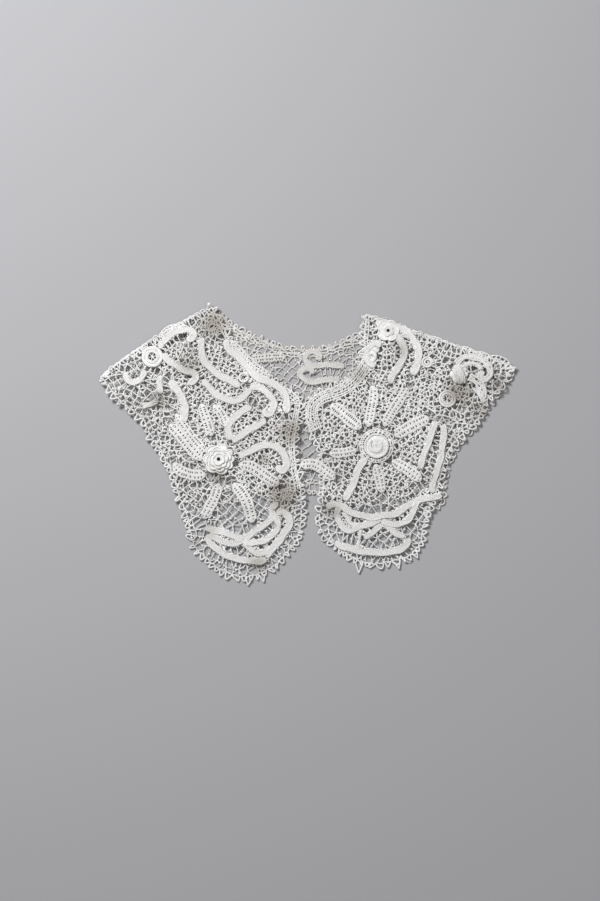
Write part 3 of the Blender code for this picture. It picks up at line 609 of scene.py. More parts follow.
class Worked:
    """Collects the threads and stitches of one piece, and makes them one mesh."""

    def __init__(self):
        self.points, self.quads, self.tris, self.along, self.tone = [], [], [], [], []
        self.count = 0
        self.shades = np.random.default_rng(SEED)

    def add(self, points, quads, tris, along, each=None, hollow=0.0):
        """A batch of solids, each of them of so many points and of its own random shade. The last
        argument is painted shade: how deep each point lies between stitches, which darkens its
        colour."""
        each = each or len(points)
        solids = -(-len(points) // each)
        shade = np.repeat(self.shades.random(solids), each)[:len(points)]
        shade[:np.size(hollow)] += np.ravel(hollow)
        self.tone.append(shade)
        self.points.append(points)
        self.quads.append(np.asarray(quads, int).reshape(-1, 4) + self.count)
        self.tris.append(np.asarray(tris, int).reshape(-1, 3) + self.count)
        self.along.append(along)
        self.count += len(points)

    def lofts(self, sections, along, closed=False, hollow=0.0):
        """Solids through sections [solid, section, point of section, xyz]."""
        solids, rings, sides, _ = sections.shape
        index = np.arange(solids * rings * sides).reshape(solids, rings, sides)
        here, ahead = index, np.roll(index, -1, axis=1)
        if not closed:
            here, ahead = index[:, :-1], index[:, 1:]
        quads = np.stack([here, np.roll(here, -1, axis=2), np.roll(ahead, -1, axis=2), ahead],
                         axis=-1).reshape(-1, 4)
        points = sections.reshape(-1, 3)
        run = np.repeat(along.reshape(-1), sides)
        tris = np.zeros((0, 3), int)
        each = rings * sides
        if not closed:
            ends = np.concatenate([sections[:, 0].mean(axis=1), sections[:, -1].mean(axis=1)])
            first = solids * rings * sides + np.arange(solids)[:, None]
            last = first + solids
            start, stop = index[:, 0], index[:, -1]
            start_fan = np.stack([np.broadcast_to(first, start.shape), np.roll(start, -1, axis=1),
                                  start], axis=-1)
            stop_fan = np.stack([np.broadcast_to(last, stop.shape), stop,
                                 np.roll(stop, -1, axis=1)], axis=-1)
            tris = np.concatenate([start_fan.reshape(-1, 3), stop_fan.reshape(-1, 3)])
            points = np.concatenate([points, ends])
            run = np.concatenate([run, along[:, 0], along[:, -1]])
        self.add(points, quads, tris, run, each, hollow)

    def tubes(self, lines, radii, sides=5, closed=False):
        """Threads along lines [thread, point, xyz] with a radius at each point."""
        lines = np.asarray(lines, float)
        radii = np.broadcast_to(radii, lines.shape[:2])
        if closed:
            heading = np.roll(lines, -1, axis=1) - np.roll(lines, 1, axis=1)
        else:
            heading = np.gradient(lines, axis=1)
        heading /= np.maximum(np.linalg.norm(heading, axis=2, keepdims=True), 1e-9)
        across = np.cross(heading, (0.0, 0.0, 1.0))
        across /= np.maximum(np.linalg.norm(across, axis=2, keepdims=True), 1e-6)
        up = np.cross(across, heading)
        angle = np.linspace(0, 2 * math.pi, sides, endpoint=False)[None, None, :, None]
        ring = np.cos(angle) * across[:, :, None] + np.sin(angle) * up[:, :, None]
        sections = lines[:, :, None] + ring * radii[:, :, None, None]
        run = np.cumsum(step_lengths(lines), axis=1)
        along = np.concatenate([np.zeros((len(lines), 1)), run], axis=1)
        self.lofts(sections, along, closed)

    def knots(self, centres, sizes, flat=0.8):
        """Small round stitches."""
        golden = (1 + math.sqrt(5)) / 2
        corner = np.array([(-1, golden, 0), (1, golden, 0), (-1, -golden, 0), (1, -golden, 0),
                           (0, -1, golden), (0, 1, golden), (0, -1, -golden), (0, 1, -golden),
                           (golden, 0, -1), (golden, 0, 1), (-golden, 0, -1), (-golden, 0, 1)])
        corner = corner / np.linalg.norm(corner[0]) * (1.0, 1.0, flat)
        faces = np.array([(0, 11, 5), (0, 5, 1), (0, 1, 7), (0, 7, 10), (0, 10, 11), (1, 5, 9),
                          (5, 11, 4), (11, 10, 2), (10, 7, 6), (7, 1, 8), (3, 9, 4), (3, 4, 2),
                          (3, 2, 6), (3, 6, 8), (3, 8, 9), (4, 9, 5), (2, 4, 11), (6, 2, 10),
                          (8, 6, 7), (9, 8, 1)])
        centres = np.asarray(centres, float).reshape(-1, 3)
        sizes = np.broadcast_to(sizes, len(centres))
        points = centres[:, None] + corner[None] * sizes[:, None, None]
        tris = faces[None] + np.arange(len(centres))[:, None, None] * 12
        self.add(points.reshape(-1, 3), np.zeros((0, 4), int), tris.reshape(-1, 3),
                 np.zeros(len(centres) * 12), 12)

    def piece(self, name, material):
        """One object from all that was worked, in metres and never under the floor."""
        points = (np.concatenate(self.points) - (*MIDDLE, 0.0)) * MM
        points[:, 2] = np.maximum(points[:, 2], 0.0)
        quads, tris = np.concatenate(self.quads), np.concatenate(self.tris)
        mesh = bpy.data.meshes.new(name)
        mesh.vertices.add(len(points))
        mesh.vertices.foreach_set("co", points.astype(np.float32).ravel())
        corners = np.concatenate([quads.ravel(), tris.ravel()])
        mesh.loops.add(len(corners))
        mesh.loops.foreach_set("vertex_index", corners.astype(np.int32))
        starts = np.concatenate([np.arange(len(quads)) * 4,
                                 len(quads) * 4 + np.arange(len(tris)) * 3])
        mesh.polygons.add(len(starts))
        mesh.polygons.foreach_set("loop_start", starts.astype(np.int32))
        mesh.polygons.foreach_set("use_smooth", np.ones(len(starts), bool))
        mesh.update(calc_edges=True)
        for label, values in (("along", self.along), ("tone", self.tone)):
            attribute = mesh.attributes.new(label, "FLOAT", "POINT")
            attribute.data.foreach_set("value", np.concatenate(values).astype(np.float32))
        mesh.materials.append(material)
        obj = bpy.data.objects.new(name, mesh)
        bpy.context.scene.collection.objects.link(obj)
        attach(obj, "root")
        return obj


def ground_spacing(side, spots):
    """How far apart the ground's crossings lie at each spot."""
    gaps = np.full(len(spots), GROUNDS[side].spacing)
    for patch in PATCHES:
        if patch.side == side:
            near = np.hypot(spots[:, 0] - patch.x, spots[:, 1] - patch.y) < patch.radius
            gaps[near] = patch.spacing
    return gaps


def scattered(side, loop, taken, rng):
    """Points inside a loop, spaced as the ground is and clear of the points already taken."""
    low, high = loop.min(axis=0), loop.max(axis=0)
    tries = int((high - low).prod() / TRY_AREA)
    spots = low + rng.random((tries, 2)) * (high - low)
    spots = spots[inside(spots, loop)]
    kept = np.concatenate([taken, np.zeros_like(spots)])
    count = len(taken)
    for spot, gap in zip(spots, ground_spacing(side, spots)):
        apart = kept[:count] - spot
        if (apart[:, 0] ** 2 + apart[:, 1] ** 2).min() > gap * gap:
            kept[count] = spot
            count += 1
    return kept[len(taken):count]


def even_diamonds(side, loop, taken, rng):
    """The crossings of the patches that are worked in even diamonds."""
    found = []
    for patch in PATCHES:
        if patch.side != side or patch.turn is None:
            continue
        reach = math.ceil(patch.radius / patch.spacing)
        steps = np.arange(-reach, reach + 1) * patch.spacing
        across, along = np.meshgrid(steps, steps)
        turn = math.radians(patch.turn)
        spots = np.stack([patch.x + across * math.cos(turn) - along * math.sin(turn),
                          patch.y + across * math.sin(turn) + along * math.cos(turn)], axis=-1)
        spots = spots.reshape(-1, 2) + rng.normal(0, 0.3, (across.size, 2))
        near = np.hypot(spots[:, 0] - patch.x, spots[:, 1] - patch.y) < patch.radius
        for spot in spots[near & inside(spots, loop)]:
            others = np.concatenate([taken, np.reshape(found, (-1, 2))])
            if np.hypot(*(others - spot).T).min() > DIAMOND_CLEAR:
                found.append(spot)
    return np.reshape(found, (-1, 2))


def quads_of(points, owners, faces, rng):
    """Bars of the ground: the triangles' sides, less the longest side of most pairs.
    Between two motifs more of the slanting bars are kept."""
    beside = {}
    for number, face in enumerate(faces):
        for a, b in zip(face, (*face[1:], face[0])):
            beside.setdefault((min(a, b), max(a, b)), []).append(number)
    sides = np.array(sorted(beside))
    length = np.linalg.norm(points[sides[:, 0]] - points[sides[:, 1]], axis=1)
    paired = set()
    bars = []
    for k in np.argsort(-length):
        side = (int(sides[k, 0]), int(sides[k, 1]))
        pair = beside[side]
        chance = MOTIF_PAIRS if min(owners[side[0]], owners[side[1]]) >= 0 else FREE_PAIRS
        if len(pair) == 2 and not paired & set(pair) and rng.random() < chance:
            paired |= set(pair)
        else:
            bars.append(side)
    return np.array(bars)


def ties(loop, edge_lines, motifs, rng):
    """Where the ground is tied to the edges and the motifs, and to which of them."""
    found, owners = [], []
    for number, line in enumerate(edge_lines):
        spots = resampled(line, EDGE_TIES)
        sway = rng.normal(0, 0.5, (len(spots), 1))
        found.append(spots + sway * np.gradient(spots, axis=0) / EDGE_TIES)
        owners.append(np.full(len(spots), number))
    for number, (path, half) in enumerate(motifs, start=len(edge_lines)):
        reach = side_of(path) * half
        around = np.concatenate([path + reach, (path - reach)[::-1]])
        spots = resampled(around, MOTIF_TIES, True)
        covered = np.zeros(len(spots), bool)
        for other, (other_path, other_half) in enumerate(motifs, start=len(edge_lines)):
            if other != number:
                covered |= line_distance(spots, other_path) < other_half
        spots = spots[inside(spots, loop) & ~covered]
        found.append(spots)
        owners.append(np.full(len(spots), number))
    return np.concatenate(found), np.concatenate(owners)


def net(worked, side, loop, edge_lines, motifs, rng):
    """A ground of chain bars in uneven diamonds between the motifs and the edges. A knot
    holds each crossing, and some of the bars have a small picot."""
    def hidden(spots, less):
        return np.any([line_distance(spots, path) < half - less for path, half in motifs], axis=0)

    ground = GROUNDS[side]
    anchors, owners = ties(loop, edge_lines, motifs, rng)
    even = even_diamonds(side, loop, anchors, rng)
    free = np.concatenate([even, scattered(side, loop, np.concatenate([anchors, even]), rng)])
    free = free[~hidden(free, -1.0)]
    points = np.concatenate([anchors, free])
    owners = np.concatenate([owners, np.full(len(free), -1)])
    points = points + rng.normal(0, 0.05, points.shape)
    found = delaunay_2d_cdt([Vector(p) for p in points], [], [], 0, 1e-5)
    order = [ids[0] for ids in found[3]]
    faces = [[order[v] for v in face] for face in found[2]]
    bars = quads_of(points, owners, faces, rng)
    a, b = points[bars[:, 0]], points[bars[:, 1]]
    length = np.linalg.norm(b - a, axis=1)
    middle = (a + b) / 2
    same = (owners[bars[:, 0]] == owners[bars[:, 1]]) & (owners[bars[:, 0]] >= 0)
    keep = ((length > BAR_LENGTHS[0]) & (length < BAR_LENGTHS[1]) & ~same
            & inside(middle, loop) & ~hidden(middle, 0.9))
    bars, a, b, length = bars[keep], a[keep], b[keep], length[keep]
    left = left_of(b - a) / length[:, None]
    steps = len(ground.swell)
    bow = rng.normal(0, BAR_BOW, len(bars))
    plan = between(a, b, steps) + left[:, None] * (bow[:, None] * rise(steps))[..., None]
    lines = raised(plan.reshape(-1, 2), side).reshape(len(plan), steps, 3)
    lines[..., 2] += rng.normal(0, 0.16, (len(plan), 1))
    thick = BAR_RADIUS * rng.uniform(0.8, 1.2, len(plan))
    thick = thick * np.clip(1.52 - 0.11 * length, 0.78, 1.25)
    worked.tubes(lines, thick[:, None] * np.array(ground.swell), ground.sides)
    used = np.unique(bars)
    used = used[owners[used] < 0]
    worked.knots(raised(points[used], side, 0.12), KNOT_RADIUS * rng.uniform(0.75, 1.15, len(used)))
    chosen = rng.random(len(plan)) < ground.picot_share
    beside = plan[chosen, 2] + left[chosen] * (0.75 * np.sign(bow[chosen]))[:, None]
    worked.knots(raised(beside, side, 0.2), rng.uniform(0.6, 1.0, len(beside)))


def chain(worked, line, radius):
    """A crocheted chain along a line in space."""
    line = resampled(line, STITCH / 2)
    worked.tubes(line[None], radius * np.where(np.arange(len(line)) % 2, 1.14, 0.9))


def ladder(worked, side, line, outward, offsets, pitch, rng, lift=0.0):
    """Rounds of chain beside an edge, with stitches that lean from each to the next."""
    steps = np.arange(len(line))
    sway = [0.35 * np.sin(steps / rng.uniform(4, 8) + rng.uniform(0, 6)) for _ in offsets]
    rounds = [raised(line - outward * (offset + bend[:, None]), side, lift)
              for offset, bend in zip(offsets, sway)]
    at = np.linspace(0, steps[-1], round(step_lengths(line).sum() / pitch) + 1)
    k = np.arange(len(at) - 1)
    for number, path in enumerate(rounds):
        chain(worked, path, BAR_RADIUS * rng.uniform(0.95, 1.3))
        if number:
            near, far = points_at(rounds[number - 1], at), points_at(path, at)
            bars = between(near[k], far[k + rng.integers(0, 2, len(k))], 4)
            worked.tubes(bars, BAR_RADIUS * np.array([1.1, 0.95, 0.95, 1.1]))


def picots(worked, side, line, outward, rng):
    """Small loops along an edge, of uneven kinds and sizes."""
    count = round(step_lengths(line).sum() / PICOT_PITCH)
    gaps = rng.uniform(0.65, 1.35, count)
    at = (np.cumsum(gaps) - gaps / 2) / gaps.sum() * (len(line) - 1)
    root, out = points_at(line, at), points_at(outward, at)
    shares, widths, reaches, powers, fats = np.array(PICOT_KINDS).T
    kind = rng.choice(len(shares), count, p=shares)
    width = rng.uniform(0.85, 1.2, count) * widths[kind] * np.minimum(gaps, 1.15)
    reach = PICOT_REACH * rng.uniform(0.85, 1.2, count) * reaches[kind] * gaps ** 0.5
    if side == "back":
        reach = reach * BACK_PICOTS
    lean = rng.normal(0, 0.3, count)
    run = np.linspace(-1, 1, PICOT_POINTS)
    away = reach[:, None] * (1 - np.abs(run)[None] ** powers[kind, None]) - 0.4
    wide = np.outer(width / 2, run) + lean[:, None] * away
    plan = root[:, None] + out[:, None] * away[..., None] + left_of(out)[:, None] * wide[..., None]
    lift = np.outer(rng.normal(0.1, 0.3, count), 1 - np.abs(run))
    lowest = (WALL / 2 if side == "back" else FOLD_LOW) - 0.1
    height = np.maximum(raised(root, side)[:, None, 2] + lift, lowest)
    loops = np.concatenate([plan, height[..., None]], axis=2)
    stitch = np.where(np.arange(PICOT_POINTS) % 2, 1.08, 0.94)
    fat = 1 + np.outer(fats[kind], np.clip(1.2 - 2 * np.abs(run), 0, 1))
    worked.tubes(loops, PICOT_RADIUS * stitch * fat * rng.uniform(0.85, 1.12, (count, 1)))
    worked.knots(raised(root - out * 0.5, side, 0.1), 0.85 * rng.uniform(0.8, 1.2, count))
    for spike in SPIKES:
        if spike.side == side:
            long_picot(worked, spike)


def long_picot(worked, spike):
    """A picot that stands further out than the rest and ends in a knob."""
    run = np.linspace(-1, 1, PICOT_POINTS)
    turn = math.radians(spike.angle)
    way = np.array([math.cos(turn), math.sin(turn)])
    root = np.array([spike.x, spike.y])
    loop = (root + np.outer(spike.length * (1 - np.abs(run) ** 1.3), way)
            + np.outer(spike.width * run, left_of(way)))
    worked.tubes(raised(loop, spike.side, 0.25)[None], PICOT_RADIUS)
    worked.knots(raised((root + way * spike.length)[None], spike.side, 0.25), spike.tip)


def edge_stitches(worked, path, side, half_width, lift, rng):
    """The tight small stitches along both sides of a worked band."""
    path = resampled(path, SMALL_STITCH)
    beside = side_of(path)
    for sign in (-1, 1):
        out = sign * half_width * rng.uniform(0.9, 1.16, len(path))
        spots = path + beside * out[:, None] + rng.normal(0, 0.2, path.shape)
        worked.knots(raised(spots, side, lift), rng.uniform(0.4, 1.0, len(path)), 0.9)


def half_round(worked, path, side, half_width, height, closed=False, lift=MOTIF_REST):
    """Stitches worked over a bundle of threads: a low band with a rib to a stitch."""
    path = resampled(path, CORD_STITCH / 4, closed)
    beside = side_of(path, closed)
    along = np.concatenate([[0], np.cumsum(step_lengths(path))])
    rib = 1 + 0.05 * np.cos(2 * math.pi * along / CORD_STITCH)
    full = np.ones(len(path))
    if not closed:
        from_end = np.minimum(along, along[-1] - along) / (half_width * 1.1)
        full = np.sqrt(1 - (1 - np.clip(from_end, 0.02, 1)) ** 2)
        rib = rib + 0.07 * np.sin(along / 3.7 + path[0, 0])
        rib = rib + 0.04 * np.sin(along / 1.9 + path[0, 1])
        drift = 0.3 * np.sin(along / 2.9 + path[0, 1]) * np.clip(along / 3, 0, 1)
        path = path + beside * drift[:, None]
    across = np.cos(np.linspace(0, math.pi, len(TWO_STRANDS)))
    across = np.sign(across) * np.abs(across) ** 0.75
    crown = TWO_STRANDS if half_width > WIDE_CORD else ONE_STRAND
    slant = 2 * math.pi * (along[:, None] / CORD_STITCH + 0.55 * np.abs(across)[None])
    lumps = 1 + 0.12 * np.cos(slant) + 0.09 * np.sin(along[:, None] / 1.3 + 5 * across[None])
    wide = np.outer(half_width * rib * full, across)
    high = np.outer(height * full ** 0.6, crown) * lumps
    sections = raised(path, side, lift)[:, None] + np.concatenate(
        [beside[:, None] * wide[..., None], high[..., None]], axis=2)
    # Painted shade: the colour darkens in the lines between the strands and between the stitches'
    # ribs
    hollow = 2.2 * (1 - crown) * (crown > 0) + 0.6 * (1 - np.cos(slant))
    worked.lofts(sections[None], along[None], closed, hollow)


def strands(worked, path, side, half_width, lift, rng):
    """Three strands side by side, with short stitches across the gaps between them."""
    path = resampled(path, 0.8)
    beside = side_of(path)
    steps = np.arange(len(path))
    lines = []
    for share in (-1, 0, 1):
        sway = 0.3 * np.sin(steps / rng.uniform(3, 6) + rng.uniform(0, 6))
        lines.append(path + beside * (share * (half_width - 0.8) + sway)[:, None])
        half_round(worked, lines[-1], side, rng.uniform(0.8, 1.05), 1.15, lift=lift)
    for pair in zip(lines, lines[1:]):
        at = np.flatnonzero(rng.random(len(path)) < CROSS_STITCHES)
        ends = np.stack([raised(line[at], side, lift + 0.35) for line in pair], axis=1)
        worked.tubes(ends, 0.5)


def openwork(worked, band, side, rng):
    """A leaf of close crochet: a ribbed plate with rows of pin holes."""
    path = resampled(curve(band.points), LEAF_CELL / 3)
    along = np.arange(len(path)) * LEAF_CELL / 3
    end = np.minimum(along, along[-1] - along)
    full = 1 - 0.2 * np.abs(2 * (along / along[-1]) - 1) ** 3
    full = full * np.sqrt(np.clip(end / 4.0, 0.08, 1))
    full = full * (1 + 0.05 * np.sin(along / 2.1 + path[0, 0]))
    rows, columns = len(path) - 1, len(LEAF_PLACES) - 1
    out = (np.outer(full, LEAF_PLACES) * band.width / 2)[..., None]
    plan = path[:, None] + side_of(path)[:, None] * out
    under = raised(plan.reshape(-1, 2), side, MOTIF_REST).reshape(len(path), columns + 1, 3)
    top = under.copy()
    top[..., 2] += LEAF_HEIGHTS + 0.13 * np.cos(2 * math.pi * along / CORD_STITCH)[:, None]
    top[..., 2] -= 0.5 * (1 - np.clip(end / 2.0, 0, 1))[:, None]
    # What is kept of the plate, with a border of nothing round it
    kept = np.zeros((rows + 2, columns + 2), bool)
    kept[1:-1, 1:-1] = True
    for column in PIN_COLUMNS:
        row = 2 + rng.integers(0, 3)
        while row < rows - 2:
            kept[row + 1, column + 1] = False
            row += rng.integers(2, 5)
    index = np.arange(len(path) * (columns + 1)).reshape(len(path), columns + 1)
    below = index + index.size
    quads = []
    for i, j in np.argwhere(kept[1:-1, 1:-1]):
        upper, lower = ((grid[i, j], grid[i, j + 1], grid[i + 1, j + 1], grid[i + 1, j])
                        for grid in (index, below))
        quads += [upper[::-1], lower]
        for down, over, k in BESIDE:
            if not kept[i + 1 + down, j + 1 + over]:
                ahead = (k + 1) % 4
                quads.append((upper[k], upper[ahead], lower[ahead], lower[k]))
    points = np.concatenate([top.reshape(-1, 3), under.reshape(-1, 3)])
    # Painted shade: the colour darkens between the stitches and on the leaf's lower lines
    leaf_shade = 0.5 * (1 - np.cos(2 * math.pi * along / CORD_STITCH))[:, None] + (1.15 - LEAF_HEIGHTS)
    run = np.tile(np.repeat(along, columns + 1), 2)
    worked.add(points, quads, np.zeros((0, 3), int), run, hollow=leaf_shade)
    edge_stitches(worked, path[2:-2], side, band.width / 2 * 0.9, MOTIF_REST + 0.2, rng)


def petal_edge(angle, lobes, turn):
    """How far out a round of petals of uneven widths reaches, from 0 between two to 1."""
    if not lobes:
        return np.ones(len(angle))
    warped = angle + turn + 0.26 * np.sin(angle + 7 * turn) + 0.14 * np.sin(2 * angle + 3 * turn)
    return np.abs(np.cos(lobes * warped / 2))


def polar(disc, angle, reach):
    """Points in plan round a disc's middle, each at its own angle and reach."""
    way = np.stack([np.cos(angle), np.sin(angle)], axis=-1)
    return np.array([disc.x, disc.y]) + np.asarray(reach)[..., None] * way


def circle(disc, radius, step=0.4):
    """A disc's own circle of that radius."""
    count = max(12, round(2 * math.pi * radius / step))
    return polar(disc, np.linspace(0, 2 * math.pi, count, endpoint=False), radius)


def petals(worked, disc, side, radius, hole, lobes, level, rising, wave, turn=0.0):
    """A round of petals: a scalloped disc that lifts and waves towards its edge."""
    angle = np.linspace(0, 2 * math.pi, max(lobes, 4) * 12, endpoint=False)
    lobe = petal_edge(angle, lobes, turn)
    share = np.linspace(0, 1, PETAL_POINTS)
    out = hole + np.outer(radius * (0.8 + 0.2 * lobe ** 0.7) - hole, share)
    plan = polar(disc, angle[:, None], out).reshape(-1, 2)
    over = raised(plan, side, MOTIF_REST).reshape(len(angle), PETAL_POINTS, 3)
    under = over.copy()
    top = (level + rising * share ** 2 + np.outer(wave * (lobe - 0.5), share ** 2)
           + 0.16 * np.cos(2 * math.pi * out / 1.7) - 0.45 * share[None] ** 8)
    over[..., 2] += top
    under[..., 2] += top - 1.0 * (1 - 0.4 * share[None] ** 6)
    sections = np.concatenate([over, under[:, ::-1]], axis=1)
    worked.lofts(sections[None], (angle * radius)[None], True)


def spokes(worked, disc, side, inner, outer, count):
    """Short bars between two circles, unevenly spaced."""
    shake = np.random.default_rng(SEED)
    angle = (np.arange(count) + shake.normal(0, 0.22, count)) * 2 * math.pi / count
    slant = angle + shake.normal(0, 0.12, count)
    plan = between(polar(disc, angle, inner), polar(disc, slant, outer), 4)
    bars = raised(plan.reshape(-1, 2), side, THREAD_LIFT).reshape(count, 4, 3)
    worked.tubes(bars, shake.uniform(0.5, 0.75, count)[:, None])


def ruffle(worked, disc, side, radius, lobes, wave, level, turn=0.0):
    """The rolled edge of a round of petals: a cord that waves in and out and up and down."""
    angle = np.linspace(0, 2 * math.pi, lobes * 16, endpoint=False)
    lobe = petal_edge(angle, lobes, turn) ** 0.7
    line = raised(polar(disc, angle, radius * (1 - wave + wave * lobe)), side, MOTIF_REST + level)
    line[:, 2] += 0.5 * (lobe - 0.5)
    thick = 0.72 * np.where(np.arange(len(line)) % 2, 1.12, 0.94)
    worked.tubes(line[None], thick, 6, True)


def rose(worked, disc, side):
    """Four rounds of petals, one on the other."""
    r = disc.radius
    for part in ROSE_ROUNDS:
        petals(worked, disc, side, r * part.size, r * part.hole, part.lobes, part.level, 0.3, 0.5,
               part.turn)
        ruffle(worked, disc, side, r * part.size * 0.99, part.lobes, 0.2, part.level + 0.1,
               part.turn)


def medallion(worked, disc, side):
    """A button with a rim and a rolled middle, in two thin rings on uneven spokes."""
    r = disc.radius
    petals(worked, disc, side, r * 0.7, 0.3, 0, 1.5, 0.0, 0.0)
    half_round(worked, circle(disc, r * 0.66), side, 1.0, 2.1, True)
    roll = polar(disc, np.linspace(2.2, 7.4, 30), r * np.linspace(0.44, 0.2, 30))
    half_round(worked, roll, side, 1.9, 1.9, lift=MOTIF_REST + 0.6)
    spokes(worked, disc, side, r * 0.72, r * 0.97, 36)
    for reach in (0.84, 0.96):
        line = raised(circle(disc, r * reach, 0.7), side, THREAD_LIFT)
        worked.tubes(line[None], 0.62, closed=True)


def ring(worked, disc, side):
    """Rounds of close stitches one inside the other, with stitches between them."""
    for number in range(int(disc.radius * 0.7 / RING_GAP)):
        reach = disc.radius - 0.9 - RING_GAP * number
        half_round(worked, circle(disc, reach), side, 1.0, 1.2 - 0.15 * number, True)
        spokes(worked, disc, side, reach - RING_GAP, reach, max(7, int(reach * 2.5)))


def wheel(worked, disc, side):
    """A wide worked ring with a few crossed threads in its hole."""
    r = disc.radius
    half_round(worked, circle(disc, r * 0.84), side, r * 0.18, 1.9, True)
    half_round(worked, circle(disc, r * 0.52), side, r * 0.17, 2.3, True)
    reach = np.linspace(-1, 1, 5) * r * 0.4
    lines = [raised(polar(disc, turn, reach), side, 0.9) for turn in (0.2, 1.3, 2.3)]
    worked.tubes(lines, 0.42)


def curl(worked, disc, side):
    """A round rolled in on itself like a snail."""
    turn = np.linspace(0.4, 3.1 * math.pi, 40)
    plan = polar(disc, turn, disc.radius * (1 - 0.75 * turn / turn[-1]))
    half_round(worked, plan, side, 1.9, 1.2)


def flower(worked, disc, side):
    """Two rounds of five petals, lying flat."""
    petals(worked, disc, side, disc.radius, disc.radius * 0.14, 5, 1.1, 0.3, 0.4)
    ruffle(worked, disc, side, disc.radius * 0.98, 5, 0.2, 1.0)
    petals(worked, disc, side, disc.radius * 0.55, disc.radius * 0.14, 5, 1.8, 0.2, 0.3, 0.6)


def lump(worked, disc, side):
    """A flower gathered up, with one petal folded over it and its edge beside that."""
    petals(worked, disc, side, disc.radius, 1.0, 6, 1.2, -0.3, 0.4)
    middle = np.array([disc.x, disc.y])
    fold = middle + np.array([(-4.0, 8.0), (-2.0, 4.0), (0.5, -2.5), (1.5, -8.5)])
    half_round(worked, curve(fold), side, 3.7, 2.6, lift=MOTIF_REST + 1.0)
    half_round(worked, curve(fold + (3.4, 0.6)), side, 1.4, 1.9, lift=MOTIF_REST + 0.8)


def bud(worked, disc, side):
    """A thin cord wound round itself."""
    turn = np.linspace(0, 4.6 * math.pi, 70)
    plan = polar(disc, turn, disc.radius * (0.92 - 0.8 * turn / turn[-1]))
    half_round(worked, plan, side, 0.95, 1.1)


MAKERS = {"rose": rose, "medallion": medallion, "flower": flower, "bud": bud, "ring": ring,
          "wheel": wheel, "curl": curl, "lump": lump}


def cotton(name, pale, dull):
    """Cotton thread: a soft twist, a shade for each thread with painted shade in the grooves
    between stitches, and a few faint brown spots, partly stains and partly painted shadow.
    """
    material = bpy.data.materials.new(name)
    material.use_nodes = True
    nodes, links = material.node_tree.nodes, material.node_tree.links
    shader = nodes["Principled BSDF"]
    shader.inputs["Roughness"].default_value = 0.88
    shader.inputs["Sheen Weight"].default_value = 0.25
    shader.inputs["Sheen Roughness"].default_value = 0.5
    shader.inputs["Specular IOR Level"].default_value = 0.25
    place = nodes.new("ShaderNodeTexCoord").outputs["Object"]

    def attribute(label):
        node = nodes.new("ShaderNodeAttribute")
        node.attribute_name = label
        return node.outputs["Fac"]

    def noise(scale, detail):
        node = nodes.new("ShaderNodeTexNoise")
        node.inputs["Scale"].default_value = scale
        node.inputs["Detail"].default_value = detail
        links.new(place, node.inputs["Vector"])
        return node.outputs["Fac"]

    def arithmetic(operation, *values):
        node = nodes.new("ShaderNodeMath")
        node.operation = operation
        for entry, value in zip(node.inputs, values):
            if isinstance(value, float):
                entry.default_value = value
            else:
                links.new(value, entry)
        return node.outputs[0]

    def mixed(factor, a, b):
        node = nodes.new("ShaderNodeMix")
        node.data_type = "RGBA"
        links.new(factor, node.inputs["Factor"])
        for socket, value in (("A", a), ("B", b)):
            entry = next(s for s in node.inputs if s.name == socket and s.type == "RGBA")
            if isinstance(value, tuple):
                entry.default_value = value
            else:
                links.new(value, entry)
        return next(s for s in node.outputs if s.type == "RGBA")

    def ramp(value, low, high):
        node = nodes.new("ShaderNodeMapRange")
        node.interpolation_type = "SMOOTHSTEP"
        node.inputs["From Min"].default_value = low
        node.inputs["From Max"].default_value = high
        links.new(value, node.inputs["Value"])
        return node.outputs["Result"]

    # Each thread's random shade with the painted shade between stitches, then fine and broad
    # mottling
    shade = arithmetic("MULTIPLY_ADD", attribute("tone"), 0.42, ramp(noise(300.0, 4.0), 0.42, 0.92))
    worn_and_shaded = arithmetic("MULTIPLY_ADD", ramp(noise(45.0, 3.0), 0.35, 0.7), 0.55, shade)
    colour = mixed(worn_and_shaded, pale, dull)
    # Brown marks: partly stains, partly painted shadow at the folds and under the motifs
    for spot in STAINS_AND_SHADOWS:
        away = nodes.new("ShaderNodeVectorMath")
        away.operation = "DISTANCE"
        x, y = (spot.x - MIDDLE[0]) * MM, (spot.y - MIDDLE[1]) * MM
        away.inputs[1].default_value = (x, y, STAIN_AND_SHADOW_HEIGHT)
        links.new(place, away.inputs[0])
        near = ramp(away.outputs["Value"], spot.radius * MM, spot.radius * MM * 0.15)
        colour = mixed(arithmetic("MULTIPLY", near, spot.strength), colour, STAIN_AND_SHADOW_BROWN)
    links.new(colour, shader.inputs["Base Color"])

    twist = arithmetic("SINE", arithmetic("MULTIPLY", attribute("along"), 2 * math.pi / TWIST))
    bump = nodes.new("ShaderNodeBump")
    bump.inputs["Strength"].default_value = 0.7
    bump.inputs["Distance"].default_value = 0.00022
    links.new(arithmetic("MULTIPLY_ADD", twist, 0.4, noise(2200.0, 3.0)), bump.inputs["Height"])
    links.new(bump.outputs["Normal"], shader.inputs["Normal"])
    return material


def coverings(bands, openwork_bands, discs):
    """What lies on the net: each motif's line in plan and half its width."""
    found = [(curve(band.points, 3.0), band.width / 2) for band in (*bands, *openwork_bands)]
    for disc in discs:
        if disc.kind in ("ring", "curl"):
            found.append((circle(disc, disc.radius * 0.77, 2.5), disc.radius * 0.23))
        else:
            found.append((circle(disc, disc.radius * 0.45, 2.0), disc.radius * 0.55))
    return found


def outline_of(grid):
    """A front's edge from the fold down its inner side, round the lobe and back up."""
    return np.concatenate([grid[:, 0], grid[-1, 1:], grid[-2::-1, -1]])


def outward_of(line, loop):
    """Directions out of the panel at the points of its edge."""
    beside = side_of(line)
    probe = line[len(line) // 2] + beside[len(line) // 2] * 0.5
    return -beside if inside(probe[None], loop)[0] else beside


